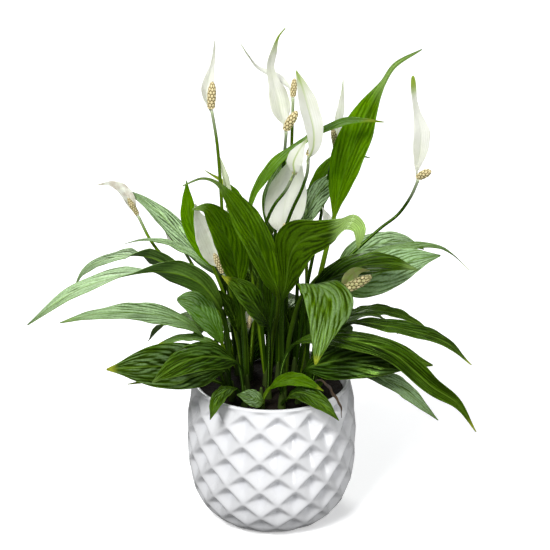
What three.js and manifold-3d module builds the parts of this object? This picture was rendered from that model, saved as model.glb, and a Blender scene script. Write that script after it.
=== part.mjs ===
// A peace lily in a glazed pot. Millimetres, +Z up, the front of the pot faces -Y.
// The origin is the centre of the pot's flat base.
import * as THREE from 'three'
import { mergeVertices } from 'three/addons/utils/BufferGeometryUtils.js'
import Module from 'manifold-3d'

const wasm = await Module()
wasm.setup()

// ---- driving sizes ----
// The pot: height and radius of each row of ridge crossings, from the base up.
const RIDGE_ROWS = [
  [4, 54.5],
  [13, 63.5],
  [26, 70.6],
  [40, 74.4],
  [55, 76.2],
  [69.5, 76.8],
  [84, 76.8],
  [98.5, 76.2],
  [113, 74.7],
  [127, 72],
]
const BASE_RADIUS = 47
const LIP = [
  [71.3, 129],
  [70.6, 131.4],
  [69, 132],
  [67.4, 131.2],
]
const POT_INSIDE = [
  [66.8, 128],
  [65.6, 108],
  [64.8, 50],
  [60.5, 26],
  [51, 12],
  [44, 8],
]
const DIAMONDS_AROUND = 15
const DIAMOND_TURN = -7.8
const DIAMOND_DEPTH = 7
const DIAMOND_RISE = 5
// The depth of the diamonds as a share of the deepest: at the cut rows, and from the base row up.
const CUT_ROW_DEPTH = 0.35
const BASE_ROW_DEPTH = 0.55
const DEPTH_GAIN_A_ROW = 0.15
const SIDES_AROUND = 2 * DIAMONDS_AROUND

// The soil, and the shoots' feet in it.
const SOIL_TOP = 121
const SOIL_BUMP = 1.6
const SOIL_GAP = 0.4
const SOIL_EDGE_DROP = 1.5
const SOIL_RINGS = [0.8, 0.45, 0.08]
const SOIL_FLOOR_RADIUS = 2
const HOLE_BOTTOM = 102
const FOOT_RADIUS = 3.8
const FOOT_GAP = 0.4
const SHEATH_TOP = 139
const SHEATH_TAPER = [1, 1, 0.9, 0.6]
const ROOT_LIFT = 1

// Leaves and blooms.
const PETIOLE_RADIUS = 2
const STALK_RADIUS = 1.8
const STALK_TOP_RADIUS = 1.35
const BLADE_HALF_THICKNESS = 0.36
const RIB_DEPTH = 0.9
const SPATHE_RIB_DEPTH = 0.5
const STEM_TAPER = 0.45
const RIB_TAPER = 0.9
// Where along a blade its upper side looks the way it is given, and its turn is nought.
const KEY_SHARE = 0.4
// Half widths, as shares of the widest, where a drawn-out tail starts and where it ends.
const TAIL_START = 0.1
const TAIL_END = 0.03
// How far the ripple of the second half runs ahead, in radians.
const RIPPLE_LEAD = 2
const SEAT_GAP = 0.35
const CLAW_RADIUS = 1.1
const CLAW_LENGTH = 3
const SPIKE_STEM = 3
const SPIKE_STEM_RADIUS = 1.2
const FLORETS_AROUND = 8
const FLORET_ROWS = 7
const FLORET_DEPTH = 0.22
// A spike by length: where its bare stem ends, where the florets begin, and how slim they start.
const SPIKE_BARE = 0.14
const SPIKE_START = 0.16
const SPIKE_SLIM = 0.84
const SPIKE_TIP_ROUNDING = 0.9

// ---- colours ----
const GLAZE = { color: 0xf2f3f5, roughness: 0.2, metalness: 0 }
const SOIL = { color: 0x1c1613, roughness: 0.95, metalness: 0 }
const LEAF = { color: 0x2f5d18, roughness: 0.35, metalness: 0 }
const SPATHE = { color: 0xf1f2ea, roughness: 0.5, metalness: 0 }
const SPADIX = { color: 0xdcc68a, roughness: 0.8, metalness: 0 }
const WITHERED = { color: 0x8a6a3c, roughness: 0.85, metalness: 0 }

const group = new THREE.Group()

// A repeatable draw between 0 and 1 (mulberry32).
let seed = 20817
function draw() {
  seed = (seed + 0x6d2b79f5) | 0
  let t = Math.imul(seed ^ (seed >>> 15), 1 | seed)
  t = (t + Math.imul(t ^ (t >>> 7), 61 | t)) ^ t
  return ((t ^ (t >>> 14)) >>> 0) / 4294967296
}

// How near points are to be one, how flat a face may be made, and the steps a path is measured in.
const WELD = 1e-4
const FLATNESS = 0.01
const LENGTH_STEPS = 240

// ---- solids: closed meshes in and out of the boolean library ----
function toSolid(geometry) {
  const bare = geometry.index ? geometry.clone() : mergeVertices(geometry.clone())
  bare.deleteAttribute('normal')
  bare.deleteAttribute('uv')
  const merged = mergeVertices(bare, WELD)
  const vertProperties = new Float32Array(merged.attributes.position.array)
  const triVerts = new Uint32Array(merged.index.array)
  return new wasm.Manifold(new wasm.Mesh({ numProp: 3, vertProperties, triVerts }))
}

function toGeometry(solid) {
  const mesh = solid.simplify(FLATNESS).getMesh()
  const geometry = new THREE.BufferGeometry()
  geometry.setAttribute('position', new THREE.BufferAttribute(new Float32Array(mesh.vertProperties), 3))
  geometry.setIndex(new THREE.BufferAttribute(new Uint32Array(mesh.triVerts), 1))
  geometry.computeVertexNormals()
  return geometry
}

function closedMesh(rows) {
  // Rows of rings with the same number of points, joined by triangles, with a fan on each end.
  const count = rows[0].length
  const position = []
  const index = []
  for (const row of rows) for (const p of row) position.push(p.x, p.y, p.z)
  for (let i = 0; i < rows.length - 1; i++) {
    for (let j = 0; j < count; j++) {
      const k = (j + 1) % count
      const a = i * count + j
      const b = i * count + k
      const c = a + count
      const d = b + count
      // The mirrored half of the ring takes the other diagonal, so both faces split alike.
      if (j < count / 2) index.push(a, b, d, a, d, c)
      else index.push(a, b, c, b, d, c)
    }
  }
  const last = (rows.length - 1) * count
  for (let j = 1; j < count - 1; j++) index.push(0, j + 1, j, last, last + j, last + j + 1)
  const geometry = new THREE.BufferGeometry()
  geometry.setAttribute('position', new THREE.Float32BufferAttribute(position, 3))
  geometry.setIndex(index)
  return geometry
}

function add(name, geometry, look) {
  const mesh = new THREE.Mesh(geometry, new THREE.MeshStandardMaterial(look))
  mesh.name = name
  group.add(mesh)
}

// ---- paths: a smooth line with a direction, a side and an upper side at each step ----
const vector = (p) => new THREE.Vector3(p[0], p[1], p[2])
const smooth = (points) => new THREE.CatmullRomCurve3(points.map(vector), false, 'centripetal')

function shareAt(curve, index) {
  // How far along the curve, by length, its point of that number lies.
  const lengths = curve.getLengths(LENGTH_STEPS)
  return lengths[Math.round((LENGTH_STEPS * index) / (curve.points.length - 1))] / lengths[LENGTH_STEPS]
}

function walk(curve, at, face, keyShare) {
  // Frames along a curve, turned as little as possible from one to the next. At keyShare the
  // upper side looks towards face.
  const frames = at.map((t) => ({ t, point: curve.getPointAt(t), along: curve.getTangentAt(t) }))
  let key = 0
  frames.forEach((f, i) => {
    if (Math.abs(f.t - keyShare) < Math.abs(frames[key].t - keyShare)) key = i
  })
  frames[key].side = frames[key].along.clone().cross(vector(face)).normalize()
  const carry = (from, to) => {
    const turn = new THREE.Quaternion().setFromUnitVectors(from.along, to.along)
    to.side = from.side.clone().applyQuaternion(turn).normalize()
  }
  for (let i = key; i < frames.length - 1; i++) carry(frames[i], frames[i + 1])
  for (let i = key; i > 0; i--) carry(frames[i], frames[i - 1])
  for (const f of frames) f.up = f.side.clone().cross(f.along).normalize()
  return frames
}

// ---- blades: half width along the blade as a share of the widest, from its base to its tip ----
const LEAF_OUTLINE = [
  [0, 0.07],
  [0.08, 0.42],
  [0.22, 0.84],
  [0.4, 1],
  [0.58, 0.93],
  [0.76, 0.62],
  [0.9, 0.25],
  [1, 0.035],
]
const SPATHE_OUTLINE = [
  [0, 0.12],
  [0.09, 0.62],
  [0.25, 0.97],
  [0.45, 0.96],
  [0.65, 0.64],
  [0.84, 0.25],
  [1, 0.05],
]

function stemRing(frame, radius, count) {
  // Points round a stalk, in the same order as the ring round a blade.
  const ring = []
  for (let j = 0; j < count; j++) {
    const angle = Math.PI * (1 - (2 * j + 1) / count)
    const away = Math.cos(angle) * radius
    const lift = Math.sin(angle) * radius
    ring.push(frame.point.clone().addScaledVector(frame.side, away).addScaledVector(frame.up, lift))
  }
  return ring
}

function twistAt(twist, s) {
  // How far a blade is turned about its rib: in even steps from the key share when one number is
  // given, or else straight from each given share to the next.
  if (!Array.isArray(twist)) return twist * (s - KEY_SHARE)
  const next = Math.max(1, twist.findIndex(([share]) => share >= s))
  const [[from, before], [to, after]] = [twist[next - 1], twist[next]]
  return THREE.MathUtils.mapLinear(s, from, to, before, after)
}

function bladeSolid(leaf, outline, stemRadius) {
  // A stalk and its blade as one ring after another. Each ring has three or five points on the
  // upper face and as many on the lower one. The halves fold up, bow down and ripple.
  const { stem, blade, wide, fold = [20, 20], bow = 0.12, wave = 0, face = [0, 0, 1], fine } = leaf
  const { turns = 1.6, twist = 0, rib = RIB_DEPTH, tail = 0, stout = 1 } = leaf
  const across = fine ? [-1, -0.5, 0, 0.5, 1] : [-1, 0, 1]
  const curve = smooth([...stem, ...blade])
  const neck = shareAt(curve, stem.length)
  const at = stem.length > 1 ? [0, neck * 0.5] : [0]
  const stemSteps = at.length
  const shares = (leaf.outline ?? outline).map(([s, share]) => [s * (1 - tail), share])
  if (tail) shares.splice(-1, 1, [1 - tail, TAIL_START], [1, TAIL_END])
  for (const [s] of shares) at.push(neck + (1 - neck) * s)
  const frames = walk(curve, at, face, neck + (1 - neck) * KEY_SHARE)
  const phase = draw() * Math.PI * 2
  const rows = frames.map((f, i) => {
    const thick = stemRadius * stout * (1 - STEM_TAPER * f.t)
    if (i < stemSteps) return stemRing(f, thick, across.length * 2)
    const [s, share] = shares[i - stemSteps]
    const half = Math.max(wide * share, BLADE_HALF_THICKNESS)
    const turn = THREE.MathUtils.degToRad(twistAt(twist, s))
    const side = f.side.clone().applyAxisAngle(f.along, turn)
    const up = f.up.clone().applyAxisAngle(f.along, turn)
    const upper = []
    const lower = []
    for (const u of across) {
      const tilt = THREE.MathUtils.degToRad(u < 0 ? fold[0] : fold[1])
      const reach = Math.abs(u) * half
      const swing = turns * Math.PI * 2 * s + phase + (u > 0 ? RIPPLE_LEAD : 0)
      const ripple = wave * share * u * u * Math.sin(swing)
      const lift = reach * Math.sin(tilt) - bow * half * u * u + ripple
      const middle = f.point.clone().addScaledVector(side, Math.sign(u) * reach * Math.cos(tilt))
      middle.addScaledVector(up, lift)
      // Square to the half that this point is on.
      const lean = u === 0 ? 0 : tilt
      const normal = up.clone().multiplyScalar(Math.cos(lean))
      normal.addScaledVector(side, -Math.sign(u) * Math.sin(lean))
      const below = BLADE_HALF_THICKNESS + (u === 0 ? rib * (1 - s * RIB_TAPER) : 0)
      upper.push(middle.clone().addScaledVector(normal, BLADE_HALF_THICKNESS))
      lower.push(middle.clone().addScaledVector(normal, -below))
    }
    return [...upper, ...lower.reverse()]
  })
  return toSolid(closedMesh(rows))
}

function tubeSolid(points, radii) {
  // A stem with six sides and a radius at each of its even steps.
  const at = radii.map((_, i) => i / (radii.length - 1))
  const frames = walk(smooth(points), at, [1, 0.2, 0.1], 0.5)
  return toSolid(closedMesh(frames.map((f, i) => stemRing(f, radii[i], 6))))
}

function stalkSolid(points) {
  const steps = points.length + 1
  const slimmer = (STALK_TOP_RADIUS - STALK_RADIUS) / steps
  const radii = Array.from({ length: steps + 1 }, (_, i) => STALK_RADIUS + slimmer * i)
  return tubeSolid(points, radii)
}

function sheathSolid([x, y], radius) {
  // The clasping base that the leaf stalks and flower stalks of one shoot come out of.
  const points = [[x, y, HOLE_BOTTOM + SEAT_GAP], [x, y, SHEATH_TOP]]
  return tubeSolid(points, SHEATH_TAPER.map((share) => radius * share))
}

function stalkTop({ stalk, spathe }) {
  // The end of the flower stalk, its direction there, and the way back from the spike.
  const point = vector(stalk.at(-1))
  const along = smooth(stalk).getTangentAt(1)
  const back = vector(spathe.face).negate()
  back.addScaledVector(along, -back.dot(along)).normalize()
  return { point, along, back }
}

function spatheSolid(bloom) {
  // The hood behind the spike. Its claw holds the stalk from behind, just below the top.
  const { point, along, back } = stalkTop(bloom)
  const claw = point.clone().addScaledVector(along, -CLAW_LENGTH)
  claw.addScaledVector(back, STALK_TOP_RADIUS + SEAT_GAP + CLAW_RADIUS)
  return bladeSolid({ rib: SPATHE_RIB_DEPTH, ...bloom.spathe, stem: [claw.toArray()] }, SPATHE_OUTLINE, CLAW_RADIUS)
}

function spadixSolid(bloom) {
  // The flower spike: a short stem, then florets as knobs in rows that step round by half.
  const { point, along } = stalkTop(bloom)
  const { tip, radius } = bloom.spadix
  const foot = point.clone().addScaledVector(along, SEAT_GAP)
  const neck = foot.clone().addScaledVector(along, SPIKE_STEM)
  const curve = smooth([foot.toArray(), neck.toArray(), tip])
  const profile = [[0, SPIKE_STEM_RADIUS], [SPIKE_BARE, SPIKE_STEM_RADIUS]]
  for (let i = 0; i <= FLORET_ROWS; i++) {
    const s = i / FLORET_ROWS
    const belly = SPIKE_SLIM + (1 - SPIKE_SLIM) * Math.sin(Math.PI * s)
    const reach = radius * belly * Math.sqrt(1 - SPIKE_TIP_ROUNDING * s ** 5)
    profile.push([SPIKE_START + (1 - SPIKE_START) * s, reach])
  }
  const frames = walk(curve, profile.map(([t]) => t), bloom.spathe.face, 0.5)
  const rows = frames.map((frame, i) => {
    const ring = stemRing(frame, profile[i][1], FLORETS_AROUND)
    if (i < 2) return ring
    return ring.map((p, j) => p.lerp(frame.point, (i + j) % 2 ? FLORET_DEPTH : 0))
  })
  return toSolid(closedMesh(rows))
}

// ---- the pot: one glazed body with rows of sunken diamonds ----
function around(radius, height, step, count = SIDES_AROUND) {
  // A point on the pot at a number of steps round from its front.
  const angle = THREE.MathUtils.degToRad(DIAMOND_TURN - 90 + (360 * step) / count)
  return [radius * Math.cos(angle), radius * Math.sin(angle), height]
}

function potGeometry() {
  const points = []
  const index = []
  const put = (p) => points.push(p) - 1
  const ring = (radius, height) =>
    Array.from({ length: SIDES_AROUND }, (_, i) => put(around(radius, height, i)))
  const wrap = (list, i) => list[(i + list.length) % list.length]
  const band = (lower, upper) => {
    for (let i = 0; i < SIDES_AROUND; i++) {
      const [a, b, c, d] = [wrap(lower, i), wrap(lower, i + 1), wrap(upper, i + 1), wrap(upper, i)]
      index.push(a, b, c, a, c, d)
    }
  }
  const top = RIDGE_ROWS.length - 1
  // Row j's crossings stand at even or odd steps in turn.
  const crossings = RIDGE_ROWS.map(([height, radius], j) =>
    Array.from({ length: DIAMONDS_AROUND }, (_, k) => put(around(radius, height, 2 * k + (j % 2)))),
  )
  const middles = []
  for (let j = 0; j <= top; j++) {
    const [height, radius] = RIDGE_ROWS[j]
    const edge = j === 0 || j === top
    const depth = DIAMOND_DEPTH * (edge ? CUT_ROW_DEPTH : Math.min(1, BASE_ROW_DEPTH + j * DEPTH_GAIN_A_ROW))
    const rise = edge ? 0 : DIAMOND_RISE
    const row = []
    for (let k = 0; k < DIAMONDS_AROUND; k++) {
      row.push(put(around(radius - depth, height + rise, 2 * k + (j % 2) + 1)))
    }
    middles.push(row)
    for (let k = 0; k < DIAMONDS_AROUND; k++) {
      const [left, right, middle] = [crossings[j][k], wrap(crossings[j], k + 1), row[k]]
      const over = j < top ? wrap(crossings[j + 1], k + (j % 2)) : null
      const under = j > 0 ? wrap(crossings[j - 1], k + (j % 2)) : null
      if (under !== null) index.push(left, under, middle, under, right, middle)
      if (over !== null) index.push(right, over, middle, over, left, middle)
    }
  }
  // The cut rows at the base and the lip, as rings of crossings and middles in turn.
  const mixed = (j) => {
    const list = []
    for (let k = 0; k < DIAMONDS_AROUND; k++) list.push(crossings[j][k], middles[j][k])
    return j % 2 ? [list.at(-1), ...list.slice(0, -1)] : list
  }
  const base = ring(BASE_RADIUS, 0)
  band(base, mixed(0))
  let below = mixed(top)
  for (const [radius, height] of [...LIP, ...POT_INSIDE]) {
    const next = ring(radius, height)
    band(below, next)
    below = next
  }
  const under = put([0, 0, 0])
  const floor = put([0, 0, POT_INSIDE.at(-1)[1]])
  for (let i = 0; i < SIDES_AROUND; i++) {
    index.push(under, wrap(base, i + 1), base[i])
    index.push(floor, below[i], wrap(below, i + 1))
  }
  const geometry = new THREE.BufferGeometry()
  geometry.setAttribute('position', new THREE.Float32BufferAttribute(points.flat(), 3))
  geometry.setIndex(index)
  geometry.computeVertexNormals()
  return geometry
}

// ---- the soil: it fills the pot to below the lip, with a hole for each shoot ----
function soilSolid(feet) {
  const rows = []
  const ring = (radius, height, bump = 0) =>
    Array.from({ length: SIDES_AROUND }, (_, i) => vector(around(radius, height + bump * draw(), i)))
  const inside = POT_INSIDE.filter(([, height]) => height < SOIL_TOP)
  const [wallRadius] = inside[0]
  rows.push(ring(SOIL_FLOOR_RADIUS, inside.at(-1)[1] + SOIL_GAP))
  for (const [radius, height] of inside.reverse()) rows.push(ring(radius - SOIL_GAP, height + SOIL_GAP))
  rows.push(ring(wallRadius - SOIL_GAP, SOIL_TOP - SOIL_EDGE_DROP, SOIL_BUMP))
  for (const share of SOIL_RINGS) rows.push(ring(wallRadius * share, SOIL_TOP, SOIL_BUMP))
  let soil = toSolid(closedMesh(rows))
  for (const { foot, footRadius = FOOT_RADIUS } of feet) {
    const [x, y] = foot
    const points = [[x, y, HOLE_BOTTOM], [x, y, SHEATH_TOP]]
    soil = soil.subtract(tubeSolid(points, [footRadius + FOOT_GAP, footRadius + FOOT_GAP]))
  }
  return soil
}

// ---- the shoots, in millimetres from the pot's base. A leaf's stem goes from its foot to the
// neck of the blade, and its blade from there to the tip. wide is half the blade's width. ----
const SHOOTS = {
  left_arches: {
    foot: [-40, -2],
    leaves: {
      long_arch: {
        stem: [[-38, -5, 160]],
        blade: [
          [-44, -8, 199], [-63, -12, 228], [-93, -20, 242],
          [-131, -30, 241], [-174, -42, 229], [-210, -55, 206],
        ],
        wide: 16, fold: [18, 18], face: [0, 0.36, 0.93], wave: 2,
        twist: [[0, 60], [0.3, 45], [0.5, -12], [0.7, -35], [1, -40]], stout: 1.2, fine: true,
      },
      small_glossy: {
        stem: [[-40, -1, 142]],
        blade: [[-44, -2, 165], [-52, -10, 187], [-61, -18, 204], [-70, -26, 216], [-82, -32, 221]],
        outline: [[0, 0.07], [0.12, 0.4], [0.32, 0.8], [0.58, 1], [0.78, 0.9], [0.92, 0.55], [1, 0.12]],
        wide: 12, fold: [20, 10], face: [0.2, -0.8, 0.5],
      },
    },
  },
  left_behind: {
    foot: [-41, 14],
    leaves: {
      level: {
        stem: [[-56, 20, 180]],
        blade: [
          [-73, 25, 214], [-96, 32, 230], [-119, 36, 236],
          [-151, 40, 230], [-171, 42, 218], [-179, 42, 204],
        ],
        wide: 13, fold: [12, 12], face: [0, 0.36, 0.93],
        wave: 1.5, twist: [[0, 60], [0.35, 40], [0.5, -25], [1, -50]],
      },
      edge_on: {
        stem: [[-42, 24, 175]],
        blade: [
          [-45, 30, 215], [-65, 42, 230], [-83, 50, 238],
          [-102, 56, 243], [-120, 60, 242], [-134, 62, 238],
        ],
        wide: 6, fold: [10, 10],
      },
    },
  },
  back_left: {
    foot: [-31, 30],
    leaves: {
      silver: {
        stem: [[-36, 38, 165]],
        blade: [
          [-42, 45, 206], [-61, 58, 222], [-81, 70, 240],
          [-100, 80, 257], [-119, 88, 271], [-141, 95, 282],
        ],
        wide: 10, fold: [18, 18], face: [0.5, -0.9, 0.6], wave: 1.5, fine: true,
      },
    },
    blooms: {
      brown: {
        stalk: [[-48, 38, 165], [-65, 45, 199], [-98, 64, 223], [-111, 70, 238], [-122, 74, 260]],
        spathe: {
          blade: [[-126, 79, 264], [-131, 82, 274], [-138, 85, 283], [-148, 85, 288], [-159, 82, 288]],
          wide: 7, fold: [35, 35], face: [0.5, -0.8, 0.4],
        },
        spadix: { tip: [-131, 73, 278], radius: 2.8 },
      },
      small_left: {
        stalk: [[-44, 46, 165], [-62, 66, 195], [-76, 80, 215], [-82, 84, 224]],
        spathe: {
          blade: [[-86, 91, 227], [-92, 94, 233], [-97, 94, 239], [-100, 92, 244]],
          wide: 8, fold: [30, 30], face: [0.5, -0.8, 0.4],
        },
        spadix: { tip: [-91, 80, 237], radius: 2.3 },
      },
    },
  },
  front_left_low: {
    foot: [-35, -27],
    leaves: {
      broad_low: {
        stem: [[-37, -30, 140]],
        blade: [[-40, -31, 153], [-67, -42, 161], [-97, -54, 167], [-122, -62, 169], [-142, -68, 170]],
        wide: 21, fold: [10, 10], face: [0.1, -0.85, 0.5], wave: 1.5, fine: true,
      },
      yellow_tip: {
        stem: [[-42, -22, 134]],
        blade: [[-56, -24, 141], [-80, -34, 146], [-104, -43, 148], [-126, -48, 147]],
        wide: 8, fold: [20, 20],
      },
    },
  },
  front_left_lip: {
    foot: [-24, -37],
    leaves: {
      pointed: {
        stem: [[-26, -38, 148]],
        blade: [[-30, -39, 163], [-49, -52, 175], [-70, -66, 178], [-87, -76, 173], [-102, -82, 164]],
        wide: 15, fold: [12, 12], face: [0.1, -0.6, 0.8], wave: 1.5,
      },
      over_lip: {
        stem: [[-28, -40, 132]],
        blade: [[-31, -42, 140], [-38, -52, 144], [-46, -63, 140], [-53, -78, 127]],
        wide: 8, fold: [12, 12],
      },
    },
  },
  left_slim: {
    foot: [-39, -15],
    leaves: {
      pale_striped: {
        stem: [[-48, -17, 150]],
        blade: [
          [-58, -19, 176], [-72, -26, 194], [-93, -33, 205],
          [-127, -42, 212], [-161, -50, 212], [-182, -55, 208],
        ],
        wide: 13, fold: [12, 12], face: [0, -0.3, 1], wave: 1.5, fine: true,
      },
      slim: {
        stem: [[-39, -19, 148]],
        blade: [[-42, -22, 168], [-54, -25, 177], [-71, -27, 182], [-89, -31, 181], [-105, -35, 176]],
        wide: 8, fold: [15, 15],
      },
    },
  },
  centre_left: {
    foot: [-24, 3],
    leaves: {
      bright_upright: {
        stem: [[-34, 10, 180]],
        blade: [[-52, 20, 230], [-63, 24, 250], [-73, 30, 272], [-75, 34, 289], [-75, 30, 309]],
        wide: 9, fold: [20, 20], face: [0.2, -0.8, 0.3],
      },
      small_dark: {
        stem: [[-27, 4, 150]],
        blade: [[-30, 5, 174], [-37, 2, 198], [-45, -1, 212], [-52, -3, 220]],
        wide: 8, fold: [15, 15], face: [0.6, -0.6, 0.5],
      },
    },
    blooms: {
      cream: {
        stalk: [[-25, 1, 160], [-27, -2, 192], [-35, -4, 218], [-42, -6, 234]],
        spathe: {
          blade: [[-47, -1, 240], [-52, 2, 256], [-59, 2, 273], [-64, -1, 286], [-66, -5, 299]],
          wide: 14, fold: [28, 28], face: [0.3, -0.9, 0.3],
        },
        spadix: { tip: [-50, -10, 255], radius: 3.2 },
      },
    },
  },
  dark_upright: {
    foot: [-22, -13],
    leaves: {
      curled_tip: {
        stem: [[-23, -9, 175]],
        blade: [
          [-28, -5, 217], [-31, -6, 240], [-37, -14, 266],
          [-46, -24, 290], [-56, -33, 305], [-67, -40, 306],
        ],
        wide: 16, fold: [15, 15], face: [0.5, -0.8, 0.2], wave: 1.5, stout: 1.2, fine: true,
      },
    },
    blooms: {
      low_white: {
        stalk: [[-24, -6, 150], [-24, -3, 166], [-21, -2, 180]],
        spathe: {
          blade: [[-20, 2, 183], [-20, 4, 190], [-19, 3, 197], [-18, 1, 202]],
          wide: 5, fold: [30, 30], face: [0, -1, 0.2],
        },
        spadix: { tip: [-19, -3, 194], radius: 2 },
      },
    },
  },
  tall_left: {
    foot: [-20, 19],
    leaves: {
      lime_bud: {
        stem: [[-14, 22, 200]],
        blade: [[-8, 27, 253], [-23, 35, 280], [-41, 40, 301], [-59, 41, 315]],
        wide: 7, fold: [30, 30],
      },
    },
    blooms: {
      tall: {
        stalk: [[-33, 12, 190], [-42, 10, 251], [-44, 10, 302], [-47, 8, 350], [-51, 6, 379]],
        spathe: {
          blade: [
            [-55, 11, 384], [-56, 14, 394], [-54, 16, 404],
            [-51, 18, 415], [-49, 18, 427], [-48, 16, 439],
          ],
          outline: [
            [0, 0.12], [0.1, 0.6], [0.25, 1], [0.4, 0.85], [0.55, 0.5], [0.7, 0.3],
            [0.85, 0.2], [1, 0.06],
          ],
          wide: 6, fold: [28, 28], face: [0.35, -1, 0.1],
        },
        spadix: { tip: [-50, 2, 406], radius: 4 },
      },
      bud: {
        stalk: [[-25, 21, 180], [-28, 22, 218], [-34, 24, 250], [-39, 26, 273]],
        spathe: {
          blade: [[-39, 29, 283], [-41, 30, 303], [-44, 30, 322], [-48, 28, 339]],
          wide: 7.5, fold: [62, 62], face: [0.7, -1, 0.1],
        },
      },
    },
  },
  centre_arch: {
    foot: [-3, -22],
    leaves: {
      folded_arch: {
        stem: [[0, -18, 170]],
        blade: [
          [6, -14, 215], [-5, -20, 249], [-15, -26, 275],
          [-27, -34, 300], [-38, -42, 320], [-47, -48, 333],
          [-58, -51, 337], [-74, -52, 331],
        ],
        wide: 18, tail: 0.18, fold: [24, 12], face: [0.5, -0.8, 0.5], wave: 1.5, stout: 1.2, fine: true,
      },
      dark_pointed: {
        stem: [[-2, -28, 160]],
        blade: [[-3, -36, 197], [-12, -47, 218], [-24, -55, 236], [-42, -61, 254]],
        wide: 14.5, fold: [15, 15], face: [0.4, -0.6, 0.7],
      },
    },
  },
  front_small: {
    foot: [-9, -41],
    leaves: {
      over_soil: {
        stem: [[-8, -44, 126]],
        blade: [[-7, -47, 129], [-13, -52, 134], [-21, -57, 139], [-30, -61, 143]],
        wide: 8, fold: [15, 15], face: [0.2, -0.8, 0.6],
      },
      bright_curl: {
        stem: [[-7, -44, 132]],
        blade: [[-2, -47, 142], [8, -53, 152], [20, -60, 157], [33, -66, 156], [45, -71, 151]],
        wide: 7, fold: [16, 16], face: [0, -0.6, 0.8],
      },
    },
  },
  front_right_lip: {
    foot: [9, -41],
    leaves: {
      over_lip: {
        stem: [[10, -46, 129]],
        blade: [
          [13, -52, 134], [19, -57, 142], [28, -65, 146],
          [40, -75, 143], [49, -83, 139], [58, -88, 131],
        ],
        wide: 9, fold: [18, 18], face: [0, -0.6, 0.8],
      },
      long_low: {
        stem: [[9, -42, 160]],
        blade: [
          [18, -45, 182], [32, -51, 191], [64, -66, 197],
          [103, -80, 190], [136, -90, 164], [158, -94, 150],
          [175, -98, 125],
        ],
        wide: 12, fold: [16, 16], face: [0, -0.45, 0.85], wave: 1.5, twist: 20, fine: true,
      },
    },
  },
  front_right_broad: {
    foot: [24, -31],
    leaves: {
      broad_dark: {
        stem: [[28, -34, 145]],
        blade: [[30, -38, 156], [55, -48, 169], [83, -56, 176], [111, -62, 178], [139, -66, 173]],
        wide: 20, fold: [12, 12], face: [0, -0.75, 0.65], wave: 1.5, fine: true,
      },
    },
  },
  front_centre: {
    foot: [11, -19],
    leaves: {
      big_upright: {
        stem: [[9, -24, 170]],
        blade: [
          [10, -28, 218], [13, -34, 238], [15, -41, 258],
          [19, -49, 274], [29, -58, 286], [41, -68, 293],
          [54, -79, 301], [65, -88, 311], [72, -95, 308],
          [71, -100, 292],
        ],
        outline: [
          [0, 0.05], [0.1, 0.35], [0.22, 0.75], [0.34, 1], [0.45, 0.9], [0.56, 0.66],
          [0.66, 0.52], [0.77, 0.5], [0.88, 0.3], [1, 0.03],
        ],
        wide: 22, fold: [12, 12], face: [-0.3, -0.8, 0.45], wave: 1.5,
        twist: [[0, 0], [0.6, 0], [0.75, -50], [1, -60]], stout: 1.35, fine: true,
      },
      drooping: {
        stem: [[16, -22, 180]],
        blade: [
          [27, -31, 224], [39, -46, 240], [47, -60, 234],
          [45, -78, 221], [41, -91, 205], [37, -101, 189],
        ],
        outline: [
          [0, 0.07], [0.1, 0.35], [0.24, 0.8], [0.38, 1], [0.52, 0.86], [0.68, 0.56],
          [0.84, 0.28], [1, 0.03],
        ],
        wide: 26, fold: [10, 10], face: [0.45, -0.3, 1], wave: 1.5, stout: 1.2, fine: true,
      },
    },
  },
  right_dark: {
    foot: [34, -13],
    leaves: {
      dark_level: {
        stem: [[32, -14, 180]],
        blade: [[35, -10, 217], [54, -14, 234], [77, -18, 246], [103, -22, 250], [127, -26, 246]],
        wide: 14, fold: [14, 14], face: [0, -0.55, 0.8], wave: 1.5, fine: true,
      },
      low_long: {
        stem: [[46, -15, 165]],
        blade: [[69, -18, 192], [100, -24, 192], [126, -28, 188], [152, -32, 180], [176, -36, 160]],
        wide: 11, fold: [16, 16], face: [0, -0.2, 0.9],
      },
    },
    blooms: {
      greenish: {
        stalk: [[37, -20, 165], [47, -32, 205], [60, -36, 227]],
        spathe: {
          blade: [[63, -32, 231], [67, -29, 239], [74, -29, 246], [85, -31, 247]],
          wide: 7, fold: [30, 30], face: [0.2, -1, 0.1],
        },
        spadix: { tip: [86, -42, 246], radius: 4.8 },
      },
    },
  },
  right_striped: {
    foot: [40, 2],
    leaves: {
      pale_level: {
        stem: [[48, 3, 175]],
        blade: [[59, 4, 211], [85, 5, 225], [107, 7, 235], [129, 10, 242], [150, 12, 245]],
        wide: 18, fold: [12, 12], face: [0, -0.85, 0.55], wave: 1.5, fine: true,
      },
      low_right: {
        stem: [[50, 0, 165]],
        blade: [[66, -2, 192], [89, 0, 197], [108, 2, 194], [125, 2, 187], [143, 0, 177]],
        wide: 9, fold: [16, 16], face: [0, -0.2, 1],
      },
    },
  },
  right_back: {
    foot: [36, 17],
    leaves: {
      far_right: {
        stem: [[48, 19, 185]],
        blade: [
          [66, 22, 228], [88, 26, 239], [109, 30, 243],
          [129, 36, 244], [148, 42, 242], [164, 46, 233],
          [180, 49, 217],
        ],
        wide: 9, fold: [18, 18],
      },
      behind: {
        stem: [[44, 32, 185]],
        blade: [[60, 36, 225], [78, 45, 236], [98, 55, 240], [120, 62, 240], [140, 66, 231]],
        wide: 12, fold: [18, 18], face: [0, -0.7, 0.7],
      },
    },
  },
  right_low: {
    foot: [36, -26],
    leaves: {
      low_pointed: {
        stem: [[50, -28, 146]],
        blade: [[72, -31, 153], [92, -36, 150], [111, -42, 143], [129, -46, 129], [147, -50, 113]],
        wide: 9.5, fold: [16, 16], face: [0, -0.4, 0.9],
      },
    },
  },
  tall_right: {
    foot: [23, 7],
    leaves: {
      tall_upright: {
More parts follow.
